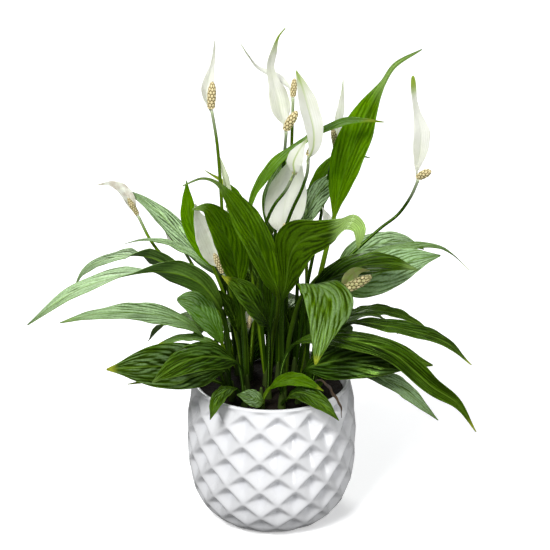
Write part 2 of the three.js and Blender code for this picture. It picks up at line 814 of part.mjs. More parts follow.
        stem: [[34, 14, 180], [46, 20, 235]],
        blade: [
          [55, 25, 274], [58, 28, 291], [65, 30, 319],
          [75, 31, 349], [87, 32, 379], [97, 33, 397],
          [107, 35, 412], [130, 36, 426],
        ],
        outline: [
          [0, 0.05], [0.07, 0.3], [0.18, 0.75], [0.32, 1], [0.46, 0.95], [0.6, 0.62],
          [0.7, 0.3], [0.76, 0.17], [0.88, 0.14], [1, 0.03],
        ],
        wide: 17, fold: [18, 18], face: [-0.6, -0.9, 0.3], wave: 1.5, stout: 1.3, fine: true,
      },
    },
    blooms: {
      far: {
        stalk: [
          [34, 10, 190], [48, 16, 220], [70, 22, 241],
          [97, 30, 264], [113, 34, 276], [124, 36, 292],
          [130, 36, 307],
        ],
        spathe: {
          blade: [
            [129, 40, 314], [131, 42, 328], [132, 43, 348],
            [128, 43, 367], [125, 41, 382], [123, 38, 402],
          ],
          outline: [
            [0, 0.12], [0.1, 0.55], [0.25, 0.95], [0.38, 1], [0.5, 0.7], [0.62, 0.4],
            [0.75, 0.3], [0.88, 0.32], [0.96, 0.25], [1, 0.1],
          ],
          wide: 9, fold: [24, 24], face: [0.4, -1, 0.1],
        },
        spadix: { tip: [140, 26, 319], radius: 4 },
      },
    },
  },
  back_arch: {
    foot: [-5, 6],
    leaves: {
      over_top: {
        stem: [[-14, 8, 200]],
        blade: [
          [-21, 10, 279], [-8, 12, 313], [12, 16, 336],
          [34, 25, 348], [59, 16, 364], [80, 2, 372],
          [96, -6, 373],
        ],
        wide: 10, fold: [22, 22], wave: 1.5,
      },
    },
    blooms: {
      cup: {
        stalk: [[-9, 5, 200], [-9, 0, 262], [-3, 4, 283], [3, 6, 295], [12, 9, 306], [19, 10, 320]],
        spathe: {
          blade: [[20, 0, 326], [19, -2, 335], [23, -2, 345], [31, -1, 357]],
          wide: 8.5, fold: [30, 30], face: [0.5, 0.9, 0.2],
        },
        spadix: { tip: [24, 12, 333], radius: 2.4 },
      },
      big_behind: {
        stalk: [[-1, 9, 180], [5, 14, 225], [9, 19, 252]],
        spathe: {
          blade: [[9, 26, 262], [11, 28, 282], [15, 28, 304], [21, 28, 325], [27, 31, 342]],
          wide: 20, fold: [24, 24], face: [0.1, -1, 0.2],
        },
        spadix: { tip: [12, 13, 275], radius: 3 },
      },
    },
  },
  centre_blooms: {
    foot: [9, -3],
    blooms: {
      large: {
        stalk: [[8, -3, 190], [8, -2, 258], [17, 0, 289], [26, 2, 309], [31, 2, 325], [32, 2, 338]],
        spathe: {
          blade: [
            [33, -4, 342], [36, -9, 352], [36, -11, 367],
            [31, -10, 388], [26, -8, 405], [21, -5, 418],
          ],
          outline: [
            [0, 0.1], [0.09, 0.42], [0.25, 0.78], [0.45, 1], [0.65, 0.93], [0.84, 0.5],
            [1, 0.05],
          ],
          wide: 10.5, fold: [24, 24], face: [0.5, 0.9, 0.1],
        },
        spadix: { tip: [43, 7, 359], radius: 3.4 },
      },
    },
  },
  centre_back: {
    foot: [6, 15],
    leaves: {
      behind_tall: {
        stem: [[5, 30, 190]],
        blade: [[0, 52, 250], [0, 62, 282], [12, 70, 306], [33, 80, 337]],
        wide: 11, fold: [18, 18], face: [0.5, -0.9, 0.3],
      },
    },
    blooms: {
      hooded: {
        stalk: [[3, 20, 190], [1, 26, 238], [8, 33, 291], [11, 35, 327], [13, 34, 352]],
        spathe: {
          blade: [
            [11, 39, 358], [9, 44, 364], [6, 47, 378],
            [2, 47, 393], [-1, 46, 408], [2, 44, 422],
            [6, 43, 435], [12, 43, 443],
          ],
          outline: [
            [0, 0.12], [0.07, 0.6], [0.18, 1], [0.3, 0.95], [0.42, 0.6], [0.55, 0.42],
            [0.7, 0.4], [0.8, 0.25], [0.88, 0.12], [1, 0.05],
          ],
          wide: 11, fold: [24, 24], face: [0.6, -0.9, 0.1],
        },
        spadix: { tip: [22, 27, 373], radius: 4.2 },
      },
      leaning: {
        stalk: [[9, 22, 190], [13, 33, 245], [17, 41, 297], [18, 44, 342], [19, 44, 380]],
        spathe: {
          blade: [
            [16, 50, 387], [11, 55, 391], [2, 60, 396],
            [-12, 62, 403], [-20, 63, 413], [-27, 64, 424],
          ],
          outline: [
            [0, 0.12], [0.1, 0.6], [0.25, 1], [0.4, 0.85], [0.55, 0.5], [0.7, 0.3],
            [0.85, 0.2], [1, 0.06],
          ],
          wide: 6, fold: [30, 30], face: [0.5, -0.4, 0.8],
        },
        spadix: { tip: [20, 40, 399], radius: 3 },
      },
    },
  },
  back_right: {
    foot: [21, 25],
    leaves: {
      half_hidden: {
        stem: [[23, 30, 200]],
        blade: [[27, 36, 262], [37, 40, 286], [50, 44, 301], [66, 48, 311]],
        wide: 11, fold: [18, 18], face: [0, -0.8, 0.6],
      },
    },
    blooms: {
      upright: {
        stalk: [[29, 30, 190], [42, 40, 259], [50, 46, 304], [56, 48, 332]],
        spathe: {
          blade: [[58, 52, 338], [59, 55, 350], [62, 56, 370], [63, 54, 395]],
          wide: 5, fold: [40, 40], face: [-0.4, -1, 0.1],
        },
        spadix: { tip: [54, 43, 353], radius: 3 },
      },
    },
  },
  far_back_right: {
    foot: [31, 33],
    leaves: {
      behind_upright: {
        stem: [[32, 42, 190]],
        blade: [[33, 52, 262], [43, 58, 300], [58, 63, 317], [75, 66, 321], [89, 68, 318]],
        wide: 11, fold: [18, 18],
      },
    },
    blooms: {
      small_back: {
        stalk: [[38, 30, 190], [46, 27, 227], [52, 28, 256]],
        spathe: {
          blade: [[52, 31, 261], [51, 33, 268], [48, 32, 277], [45, 30, 284]],
          wide: 5, fold: [30, 30], face: [0.1, -1, 0.2],
        },
        spadix: { tip: [50, 26, 272], radius: 2.2 },
      },
    },
  },
  withered: {
    foot: [31, -41],
    footRadius: 1.8,
    stemRadius: 1.1,
    look: WITHERED,
    leaves: {
      strip: {
        stem: [[35, -43, 136]],
        blade: [[40, -46, 150], [47, -53, 150], [54, -60, 142], [60, -66, 134], [61, -68, 124]],
        wide: 2, fold: [35, 35],
      },
    },
  },
  rear_left: {
    foot: [-20, 41],
    leaves: {
      one: {
        stem: [[-26, 50, 150]],
        blade: [[-34, 62, 150], [-48, 82, 150], [-62, 102, 140], [-74, 122, 118]],
        wide: 16, fold: [14, 14], wave: 1.5,
      },
      two: {
        stem: [[-34, 46, 145]],
        blade: [[-52, 52, 152], [-78, 66, 160], [-102, 80, 150], [-118, 92, 128]],
        wide: 14, fold: [14, 14], wave: 1.5,
      },
      inner: {
        stem: [[-22, 44, 140]],
        blade: [[-24, 47, 152], [-26, 50, 180], [-30, 54, 205], [-36, 58, 225]],
        outline: [[0, 0.3], [0.12, 0.8], [0.3, 1], [0.6, 0.95], [0.85, 0.6], [1, 0.1]],
        wide: 13, fold: [14, 14], face: [0.1, -1, 0.2],
      },
      low: {
        stem: [[-19, 40, 127]],
        blade: [[-18, 39, 132], [-17, 37, 150], [-17, 37, 168], [-19, 38, 184]],
        outline: [[0, 0.3], [0.12, 0.8], [0.3, 1], [0.6, 0.95], [0.85, 0.6], [1, 0.1]],
        wide: 11, face: [0, -1, 0.2],
      },
    },
  },
  rear_centre: {
    foot: [-2, 37],
    leaves: {
      one: {
        stem: [[-4, 50, 150]],
        blade: [[-8, 66, 186], [-14, 92, 212], [-22, 122, 214], [-30, 150, 192]],
        wide: 17, fold: [14, 14], wave: 1.5,
      },
      two: {
        stem: [[2, 48, 142]],
        blade: [[8, 62, 158], [16, 86, 172], [26, 112, 166], [34, 134, 144]],
        wide: 14, fold: [14, 14], wave: 1.5,
      },
      inner: {
        stem: [[-1, 41, 140]],
        blade: [[0, 44, 152], [2, 47, 180], [4, 52, 208], [4, 60, 228]],
        outline: [[0, 0.3], [0.12, 0.8], [0.3, 1], [0.6, 0.95], [0.85, 0.6], [1, 0.1]],
        wide: 13, fold: [14, 14], face: [0, -1, 0.2],
      },
      low: {
        stem: [[0, 35, 127]],
        blade: [[2, 33, 132], [5, 31, 150], [8, 31, 168], [9, 33, 184]],
        outline: [[0, 0.3], [0.12, 0.8], [0.3, 1], [0.6, 0.95], [0.85, 0.6], [1, 0.1]],
        wide: 11, face: [0, -1, 0.2],
      },
    },
  },
  rear_right: {
    foot: [18, 43],
    leaves: {
      one: {
        stem: [[26, 52, 150]],
        blade: [[36, 62, 150], [50, 82, 152], [64, 102, 142], [76, 122, 120]],
        wide: 16, fold: [14, 14], wave: 1.5,
      },
      two: {
        stem: [[32, 50, 145]],
        blade: [[50, 56, 156], [76, 70, 164], [102, 84, 156], [120, 96, 134]],
        wide: 14, fold: [14, 14], wave: 1.5,
      },
      inner: {
        stem: [[20, 44, 138]],
        blade: [[26, 45, 150], [36, 47, 176], [46, 51, 200], [54, 56, 216]],
        outline: [[0, 0.3], [0.12, 0.8], [0.3, 1], [0.6, 0.95], [0.85, 0.6], [1, 0.1]],
        wide: 14, fold: [14, 14], face: [-0.1, -1, 0.2],
      },
      low: {
        stem: [[17, 41, 127]],
        blade: [[18, 40, 132], [18, 38, 150], [18, 39, 168], [19, 41, 184]],
        outline: [[0, 0.3], [0.12, 0.8], [0.3, 1], [0.6, 0.95], [0.85, 0.6], [1, 0.1]],
        wide: 9, face: [0, -1, 0.2],
      },
    },
  },
}

add('pot', potGeometry(), GLAZE)
add('potting_soil', toGeometry(soilSolid(Object.values(SHOOTS))), SOIL)

for (const [name, shoot] of Object.entries(SHOOTS)) {
  const { foot, footRadius = FOOT_RADIUS, stemRadius = PETIOLE_RADIUS, look = LEAF } = shoot
  const root = [foot[0], foot[1], SOIL_TOP + SOIL_BUMP + ROOT_LIFT]
  const solids = [sheathSolid(foot, footRadius)]
  for (const leaf of Object.values(shoot.leaves ?? {})) {
    solids.push(bladeSolid({ ...leaf, stem: [root, ...leaf.stem] }, LEAF_OUTLINE, stemRadius))
  }
  for (const { stalk } of Object.values(shoot.blooms ?? {})) solids.push(stalkSolid([root, ...stalk]))
  add(`shoot_${name}`, toGeometry(wasm.Manifold.union(solids)), look)
}

for (const { blooms = {} } of Object.values(SHOOTS)) {
  for (const [name, bloom] of Object.entries(blooms)) {
    add(`spathe_${name}`, toGeometry(spatheSolid(bloom)), SPATHE)
    if (bloom.spadix) add(`spadix_${name}`, toGeometry(spadixSolid(bloom)), SPADIX)
  }
}

export default group
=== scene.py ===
"""A peace lily in a glazed pot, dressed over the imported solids. Metres, +Z up, front to -Y.

Sizes below are in millimetres, as in the part's source, and are turned to metres as a mesh is made.
"""
import math

import bpy
import numpy as np
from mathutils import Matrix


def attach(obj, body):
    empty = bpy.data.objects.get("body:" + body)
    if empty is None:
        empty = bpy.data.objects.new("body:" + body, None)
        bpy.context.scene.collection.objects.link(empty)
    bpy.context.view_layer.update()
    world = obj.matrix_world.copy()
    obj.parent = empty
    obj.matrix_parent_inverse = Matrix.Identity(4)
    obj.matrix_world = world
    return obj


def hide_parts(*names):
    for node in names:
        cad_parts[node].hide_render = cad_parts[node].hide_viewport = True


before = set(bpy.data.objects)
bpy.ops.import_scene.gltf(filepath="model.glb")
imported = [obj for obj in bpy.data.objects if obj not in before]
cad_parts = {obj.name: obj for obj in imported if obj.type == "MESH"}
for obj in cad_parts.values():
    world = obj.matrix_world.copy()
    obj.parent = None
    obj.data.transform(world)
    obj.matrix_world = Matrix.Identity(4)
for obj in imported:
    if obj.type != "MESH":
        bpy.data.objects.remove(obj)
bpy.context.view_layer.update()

# ---- Camera ----
# The photograph was taken with a long lens, from a little above the plant and straight in
# front of it. The picture is square, so the sensor is too.
AIM = (3.1, 0.0, 231.0)
DISTANCE = 1600.0
LOOK_DOWN = math.radians(21)
LENS = 118.5
SENSOR = 36.0
MILLIMETRE = 0.001

camera_data = bpy.data.cameras.new("front_camera")
camera_data.lens = LENS
camera_data.sensor_width = SENSOR
camera = bpy.data.objects.new("front_camera", camera_data)
camera.location = (
    AIM[0] * MILLIMETRE,
    (AIM[1] - DISTANCE * math.cos(LOOK_DOWN)) * MILLIMETRE,
    (AIM[2] + DISTANCE * math.sin(LOOK_DOWN)) * MILLIMETRE,
)
camera.rotation_euler = (math.pi / 2 - LOOK_DOWN, 0, 0)
bpy.context.scene.collection.objects.link(camera)
bpy.context.scene.camera = camera


# ---- Floor and light ----
# A plain pale floor with a fine matt grain. A large soft lamp hangs at the upper left, a weaker
# one fills from the right, and one behind and above gives the leaves their sheen.
class Wire:
    """An output of a material's node. Arithmetic on it adds Math nodes to the material."""

    def __init__(self, finish, socket):
        self.finish = finish
        self.socket = socket

    def reckon(self, operation, *values):
        inputs = dict(enumerate(values))
        return self.finish.node("ShaderNodeMath", {"operation": operation}, inputs)

    def __add__(self, other):
        return self.reckon("ADD", self, other)

    def __sub__(self, other):
        return self.reckon("SUBTRACT", self, other)

    def __rsub__(self, other):
        return self.reckon("SUBTRACT", other, self)

    def __mul__(self, other):
        return self.reckon("MULTIPLY", self, other)

    __radd__ = __add__
    __rmul__ = __mul__


class Finish:
    """A procedural material, made node by node."""

    def __init__(self, name):
        self.material = bpy.data.materials.new(name)
        self.material.use_nodes = True
        self.tree = self.material.node_tree
        self.tree.nodes.clear()

    def node(self, kind, settings=None, inputs=None, output=0):
        """Adds a node: its settings first, then values or links for its sockets."""
        made = self.tree.nodes.new(kind)
        for key, value in (settings or {}).items():
            setattr(made, key, value)
        for key, value in (inputs or {}).items():
            if isinstance(value, Wire):
                self.tree.links.new(value.socket, made.inputs[key])
            else:
                made.inputs[key].default_value = value
        return Wire(self, made.outputs[output])

    def place(self):
        return self.node("ShaderNodeTexCoord", output="Object")

    def mark(self, name):
        """A value kept at each point of the mesh."""
        return self.node("ShaderNodeAttribute", {"attribute_name": name}, output="Fac")

    def step(self, value, low, high, bottom=0.0, top=1.0):
        """A smooth step from bottom to top as value goes from low to high."""
        settings = {"interpolation_type": "SMOOTHSTEP"}
        sockets = {"Value": value, "From Min": low, "From Max": high, "To Min": bottom, "To Max": top}
        return self.node("ShaderNodeMapRange", settings, sockets)

    def blend(self, share, first, second):
        """One colour going over to another."""
        return self.node("ShaderNodeMix", {"data_type": "RGBA"}, {0: share, 6: first, 7: second}, 2)

    def noise(self, scale, detail=3.0, place=None):
        sockets = {"Vector": place or self.place(), "Scale": scale, "Detail": detail}
        return self.node("ShaderNodeTexNoise", None, sockets)

    def bump(self, height, distance, strength=1.0, under=None):
        sockets = {"Height": height, "Distance": distance, "Strength": strength}
        if under is not None:
            sockets["Normal"] = under
        return self.node("ShaderNodeBump", None, sockets)

    def skin(self, colour, roughness, normal, **fixed):
        """The main shader. Values that are the same all over are set on its own sockets."""
        sockets = {"Base Color": colour, "Roughness": roughness, "Normal": normal}
        sockets.update({key.replace("_", " "): value for key, value in fixed.items()})
        return self.node("ShaderNodeBsdfPrincipled", None, sockets)

    def thin(self, skin, share, through):
        """Lets a share of the light through a leaf, coloured by it."""
        light = self.node("ShaderNodeBsdfTranslucent", None, {"Color": through})
        return self.node("ShaderNodeMixShader", None, {0: share, 1: skin, 2: light})

    def done(self, shader):
        output = self.tree.nodes.new("ShaderNodeOutputMaterial")
        self.tree.links.new(shader.socket, output.inputs["Surface"])
        return self.material


FLOOR_HALF = 40.0
FLOOR_COLOUR = (0.93, 0.935, 0.94, 1)
FLOOR_COLOUR_LOW = (0.91, 0.915, 0.92, 1)
FLOOR_GLOW = 0.36
FLOOR_BOUNCE = (0.2, 0.2, 0.2, 1)

floor_finish = Finish("pale_floor")
floor_grain = floor_finish.noise(60.0, 4.0)
floor_tone = floor_finish.blend(floor_grain, FLOOR_COLOUR_LOW, FLOOR_COLOUR)
floor_relief = floor_finish.bump(floor_grain, 0.0004, 0.3)
floor_skin = floor_finish.skin(
    floor_tone, 0.95, floor_relief, Emission_Color=(1, 1, 1, 1), Emission_Strength=FLOOR_GLOW
)
# The floor is pale to look at, and sends little light back up, as a backdrop set well below does.
floor_low = floor_finish.node("ShaderNodeBsdfDiffuse", None, {"Color": FLOOR_BOUNCE})
seen = floor_finish.node("ShaderNodeLightPath", output="Is Camera Ray")
floor_material = floor_finish.done(
    floor_finish.node("ShaderNodeMixShader", None, {0: seen, 1: floor_low, 2: floor_skin})
)

floor_mesh = bpy.data.meshes.new("floor")
floor_corners = [(x * FLOOR_HALF, y * FLOOR_HALF, 0) for x, y in ((-1, -1), (1, -1), (1, 1), (-1, 1))]
floor_mesh.from_pydata(floor_corners, [], [(0, 1, 2, 3)])
floor_mesh.materials.append(floor_material)
floor = bpy.data.objects.new("floor", floor_mesh)
bpy.context.scene.collection.objects.link(floor)

SKY_STRENGTH = 0.19
LAMPS = {
    # where it hangs, what it points at, its width and height in metres, and its watts
    "key_lamp": ((-1.0, -1.85, 2.2), (0, 0, 0.2), (0.9, 0.9), 90.0),
    "fill_lamp": ((1.9, -1.8, 1.0), (0, 0, 0.2), (1.2, 1.2), 30.0),
    "sheen_lamp": ((-0.7, 2.1, 1.9), (0, 0, 0.25), (1.4, 1.1), 44.0),
}
for lamp_name, (spot, target, (lamp_width, lamp_height), watts) in LAMPS.items():
    lamp_data = bpy.data.lights.new(lamp_name, "AREA")
    lamp_data.shape = "RECTANGLE"
    lamp_data.size = lamp_width
    lamp_data.size_y = lamp_height
    lamp_data.energy = watts
    lamp = bpy.data.objects.new(lamp_name, lamp_data)
    lamp.visible_camera = False
    way = np.subtract(target, spot)
    flat = math.hypot(way[0], way[1])
    lamp.location = spot
    lamp.rotation_euler = (math.atan2(flat, -way[2]), 0, math.atan2(way[1], way[0]) - math.pi / 2)
    bpy.context.scene.collection.objects.link(lamp)

sky = bpy.data.worlds.new("studio")
sky.use_nodes = True
sky.node_tree.nodes["Background"].inputs["Color"].default_value = (0.96, 0.98, 1.0, 1)
sky.node_tree.nodes["Background"].inputs["Strength"].default_value = SKY_STRENGTH
bpy.context.scene.world = sky
bpy.context.scene.view_settings.view_transform = "Standard"


# ---- Pot ----
# One slip-cast stoneware body under a clear white glaze: fifteen columns of sunken diamonds in
# staggered rows, a plain rounded lip, and an unglazed foot. The glaze lies thicker in the hollows.
RIDGE_HEIGHTS = [4, 13, 26, 40, 55, 69.5, 84, 98.5, 113, 127]
RIDGE_RADII = [54.5, 63.5, 70.6, 74.4, 76.2, 76.8, 76.8, 76.2, 74.7, 72]
POT_FOOT = [[0.5, 0], [46, 0], [47, 0.2], [50.6, 1.6]]
POT_LIP = [[72, 127], [71.3, 129], [70.6, 131.4], [69, 132], [67.4, 131.2], [66.8, 128]]
POT_INSIDE = [[66.8, 128], [65.6, 108], [64.8, 50], [60.5, 26], [51, 12], [44, 8], [0.5, 8]]
DIAMONDS_AROUND = 15
DIAMOND_TURN = -7.8
DIAMOND_DEPTH = 7.6
DIAMOND_RISE = 6.0
# The depth of the diamonds as a share of the deepest: in the cut rows, and from the base row up.
CUT_ROW_DEPTH = 0.35
BASE_ROW_DEPTH = 0.55
DEPTH_GAIN = 0.15
# Heights near the base, and the share of the relief there.
BASE_FADE = [[4, 7], [0.5, 1]]
# The foot is unglazed below this height and within this radius.
BARE_BELOW = 1.2
BARE_WITHIN = 49.5
RIDGE_ROUNDING = 0.16
RIDGE_WIDTH = 0.16
CREASE_ROUNDING = 0.16
VALLEY_ROUNDING = 0.15
SIDE_EASING = 0.45
POT_STEPS_AROUND = 360
POT_STEPS_UP = 176
EASE_STEPS = 6
GLAZE_WHITE = (0.77, 0.775, 0.79, 1)
GLAZE_POOLED = (0.7, 0.71, 0.74, 1)
BARE_CLAY = (0.62, 0.56, 0.48, 1)


def glide(points, shares):
    """A smooth line through points, read at shares of its length. Between two points it is a
    cubic whose end slopes come from the neighbouring points, each weighed by the square root of
    its distance. Also gives the share at which each point lies."""
    p = np.asarray(points, float)
    p = np.vstack([2 * p[0] - p[1], p, 2 * p[-1] - p[-2]])
    gap = np.maximum(np.linalg.norm(np.diff(p, axis=0), axis=1) ** 0.5, 1e-4)[:, None]
    g0, g1, g2 = gap[:-2], gap[1:-1], gap[2:]
    before, start, end, after = p[:-3], p[1:-2], p[2:-1], p[3:]
    leave = ((start - before) / g0 - (end - before) / (g0 + g1) + (end - start) / g1) * g1
    arrive = ((end - start) / g1 - (after - start) / (g1 + g2) + (after - end) / g2) * g1
    t = np.linspace(0, 1, 40, endpoint=False)[None, :, None]
    start, end, leave, arrive = (v[:, None] for v in (start, end, leave, arrive))
    run = (2 * t**3 - 3 * t**2 + 1) * start + (t**3 - 2 * t**2 + t) * leave
    run = run + (3 * t**2 - 2 * t**3) * end + (t**3 - t**2) * arrive
    run = np.vstack([run.reshape(-1, p.shape[1]), p[-2]])
    length = np.concatenate([[0], np.cumsum(np.linalg.norm(np.diff(run, axis=0), axis=1))])
    length = length / length[-1]
    spots = np.stack([np.interp(shares, length, column) for column in run.T], axis=1)
    return spots, length[::40]


def put_piece(name, parts, material, slot, *nodes):
    """Makes one object of several grids. Each grid is rings of points, one ring after another,
    joined by quads and closed by a face over each end. Its marks are values for its points, and
    a mark that only some of the grids have is nought on the others."""
    points, faces, first = [], [], 0
    for part in parts:
        rows, ring, _ = part["points"].shape
        i, j = np.meshgrid(np.arange(rows - 1), np.arange(ring), indexing="ij")
        here = first + i * ring + j
        beside = first + i * ring + (j + 1) % ring
        quads = np.stack([here, beside, beside + ring, here + ring], axis=-1).reshape(-1, 4)
        faces.extend(quads.tolist())
        faces.append(list(range(first + ring - 1, first - 1, -1)))
        faces.append(list(range(first + (rows - 1) * ring, first + rows * ring)))
        points.append(part["points"].reshape(-1, 3))
        first += rows * ring
    mesh = bpy.data.meshes.new(name)
    mesh.from_pydata((np.vstack(points) * MILLIMETRE).tolist(), [], faces)
    for key in dict.fromkeys(key for part in parts for key in part["marks"]):
        values = [np.broadcast_to(p["marks"].get(key, 0), p["points"].shape[:2]).ravel() for p in parts]
        layer = mesh.attributes.new(key, "FLOAT", "POINT")
        layer.data.foreach_set("value", np.concatenate(values).astype(np.float32))
    mesh.shade_smooth()
    mesh.materials.append(material)
    piece = bpy.data.objects.new(name, mesh)
    bpy.context.scene.collection.objects.link(piece)
    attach(piece, "root")
    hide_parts(*nodes)


def round_body(profile, relief, steps):
    """A body turned round the upright axis. Each station of the profile gives a ring, whose radius
    at each angle is less by the relief there."""
    turn = np.radians(DIAMOND_TURN - 90) + 2 * np.pi * np.arange(steps) / steps
    radius = profile[:, :1] - relief
    height = np.broadcast_to(profile[:, 1:], radius.shape)
    return np.stack([radius * np.cos(turn), radius * np.sin(turn), height], axis=-1)


def diamond_relief(heights, steps):
    """How deep the surface is sunk at each height and step round. A hollow is a pyramid over the
    diamond between four ridge crossings, its point raised a little. Its depth goes with the
    smaller of the shares of the way in from its upper and its lower edges. Hyperbolas round the
    valley where those two meet and the crease between its sides, and its sides lie shallower."""
    row = np.interp(heights, RIDGE_HEIGHTS, np.arange(len(RIDGE_HEIGHTS)))[:, None]
    column = (2 * DIAMONDS_AROUND * np.arange(steps) / steps)[None, :]
    spacing = np.interp(heights, RIDGE_HEIGHTS[:-1], np.diff(RIDGE_HEIGHTS))[:, None]
    last = len(RIDGE_HEIGHTS) - 1
    deepest = np.zeros((len(heights), steps))
    for centre in range(last + 1):
        edge = centre in (0, last)
        depth = DIAMOND_DEPTH * (CUT_ROW_DEPTH if edge else min(1, BASE_ROW_DEPTH + DEPTH_GAIN * centre))
        rise = 0 if edge else DIAMOND_RISE / spacing
        aside = (column - centre % 2) % 2 - 1
        aside = np.sqrt(aside**2 + CREASE_ROUNDING**2) - CREASE_ROUNDING
        above = row - centre
        over = (1 - aside - above) / (1 - rise)
        under = (1 - aside + above) / (1 + rise)
        share = (over + under) / 2 - np.hypot((over - under) / 2, VALLEY_ROUNDING)
        shallower = 1 - SIDE_EASING * np.minimum(aside, 1)
        deepest = np.maximum(deepest, depth * shallower * ease_in(np.maximum(share, 0)))
    return deepest


def ease_in(share):
    """Goes from 0 to 1, flat at first for the width of a ridge and then straight: the mean of a
    straight line through the ridge's edge and its own rounded absolute value, scaled to fit."""
    ends = np.array([0.0, 1.0])
    low, high = ((v - RIDGE_WIDTH + np.hypot(v - RIDGE_WIDTH, RIDGE_ROUNDING)) / 2 for v in ends)
    value = (share - RIDGE_WIDTH + np.hypot(share - RIDGE_WIDTH, RIDGE_ROUNDING)) / 2
    return (value - low) / (high - low)


outside_heights = np.linspace(RIDGE_HEIGHTS[0], RIDGE_HEIGHTS[-1], POT_STEPS_UP)
ridge_line = glide(list(zip(RIDGE_HEIGHTS, RIDGE_RADII)), np.linspace(0, 1, 600))[0]
outside = np.column_stack([np.interp(outside_heights, *ridge_line.T), outside_heights])
foot = glide(POT_FOOT, np.linspace(0, 1, 24))[0]
lip = glide(POT_LIP, np.linspace(0, 1, 22))[0][1:]
inside = glide(POT_INSIDE, np.linspace(0, 1, 34))[0][1:]
pot_profile = np.vstack([foot, outside, lip, inside])
fade = np.interp(outside_heights, *BASE_FADE)[:, None]
pot_relief = np.zeros((len(pot_profile), POT_STEPS_AROUND))
outside_rows = slice(len(foot), len(foot) + POT_STEPS_UP)
pot_relief[outside_rows] = diamond_relief(outside_heights, POT_STEPS_AROUND) * fade
# The relief runs out over a few rings above and below.
above_rows = slice(outside_rows.stop, outside_rows.stop + EASE_STEPS)
below_rows = slice(len(foot) - EASE_STEPS, len(foot))
pot_relief[above_rows] = pot_relief[outside_rows.stop - 1] * np.linspace(0.9, 0, EASE_STEPS)[:, None]
pot_relief[below_rows] = pot_relief[len(foot)] * np.linspace(0, 0.85, EASE_STEPS)[:, None]

glaze = Finish("white_glaze")
pooled = glaze.mark("hollow")
glaze_cloud = glaze.noise(22.0, 3.0)
glaze_colour = glaze.blend(glaze.step(pooled + glaze_cloud * 0.3, 0.35, 1.2), GLAZE_WHITE, GLAZE_POOLED)
glaze_colour = glaze.blend(glaze.mark("bare"), glaze_colour, BARE_CLAY)
orange_peel = glaze.bump(glaze.noise(260.0, 2.0), 0.00012, 0.5)
glaze_gloss = glaze.step(glaze.noise(90.0, 3.0), 0.3, 0.75, 0.17, 0.3) + glaze.mark("bare") * 0.5
glaze_skin = glaze.skin(glaze_colour, glaze_gloss, orange_peel, IOR=1.5, Coat_Weight=0.3, Coat_Roughness=0.12)
unglazed = (pot_profile[:, 1:] < BARE_BELOW) * (pot_profile[:, :1] < BARE_WITHIN)
pot_grid = {
    "points": round_body(pot_profile, pot_relief, POT_STEPS_AROUND),
    "marks": {"hollow": pot_relief / DIAMOND_DEPTH, "bare": unglazed},
}
put_piece("glazed_pot", [pot_grid], glaze.done(glaze_skin), "glaze", "pot")


# ---- Potting soil ----
# Nearly black peat that fills the pot to a finger's breadth below the lip. Its top is crumbly,
# and lies a little higher against the stems in the middle.
SOIL_TOP = 121.0
SOIL_SIDE = [[0.5, 8.4], [43.5, 8.4], [50.4, 12.6], [59.9, 26.6], [64.2, 50], [65, 108]]
SOIL_RIM = [65.1, 119.4]
SOIL_RADIUS = 64.6
SOIL_STEPS_AROUND = 180
SOIL_SWELL = 1.2
# Each wave of the crumbs: its length, how far it is turned in radians, and its height.
CRUMB_WAVES = [
    (31, 0.4, 0.5), (17, 2.0, 0.5), (9, 1.1, 0.45), (5.2, 2.7, 0.4), (3.1, 0.9, 0.35), (1.9, 1.9, 0.2)
]
SOIL_BLACK = (0.006, 0.004, 0.003, 1)
SOIL_BROWN = (0.012, 0.008, 0.004, 1)
SOIL_FIBRE = (0.07, 0.045, 0.025, 1)


def crumbs(x, y):
    """The height of crumbly ground: waves of six sizes, each turned against the last, folded at
    their zero lines so that they meet in creases."""
    height = np.zeros_like(x)
    for size, turned, tall in CRUMB_WAVES:
        u = (x * math.cos(turned) + y * math.sin(turned)) * 2 * math.pi / size
        v = (y * math.cos(turned) - x * math.sin(turned)) * 2 * math.pi / (size * 1.17)
        height += tall * np.abs(np.sin(u + 1.3 * np.sin(v * 0.7)) * np.cos(v + 0.8 * np.sin(u)))
    return height


soil_side = glide(SOIL_SIDE, np.linspace(0, 1, 40))[0]
soil_flat = np.linspace([SOIL_RADIUS, SOIL_TOP - SOIL_SWELL], [0.5, SOIL_TOP - SOIL_SWELL], 110)
soil_profile = np.vstack([soil_side, [SOIL_RIM], soil_flat])
soil_points = round_body(soil_profile, np.zeros((1, SOIL_STEPS_AROUND)), SOIL_STEPS_AROUND)
top_rows = slice(len(soil_side) + 1, None)
swell = SOIL_SWELL * np.cos(soil_profile[top_rows, 0] / SOIL_RADIUS * np.pi / 2)[:, None]
soil_points[top_rows, :, 2] += crumbs(soil_points[top_rows, :, 0], soil_points[top_rows, :, 1]) + swell

soil = Finish("black_peat")
peat_lumps = soil.noise(420.0, 5.0)
peat_fibres = soil.step(soil.noise(900.0, 2.0), 0.62, 0.72)
peat_colour = soil.blend(soil.step(peat_lumps, 0.35, 0.7), SOIL_BLACK, SOIL_BROWN)
peat_colour = soil.blend(peat_fibres * 0.5, peat_colour, SOIL_FIBRE)
peat_relief = soil.bump(peat_lumps, 0.0015, 0.8)
peat_dullness = soil.step(peat_lumps, 0.2, 0.8, 0.75, 1.0)
peat_skin = soil.skin(peat_colour, peat_dullness, peat_relief, Specular_IOR_Level=0.15)
put_piece("peat", [{"points": soil_points, "marks": {}}], soil.done(peat_skin), "soil", "potting_soil")


# ---- Leafy shoots ----
# Each shoot is a clasping sheath in the soil, from which its leaves and its flower stalks come
# out. A leaf is a long channelled stalk that runs on as the rib under a thin glossy blade with
# sunk side veins. Places and sizes are in millimetres.

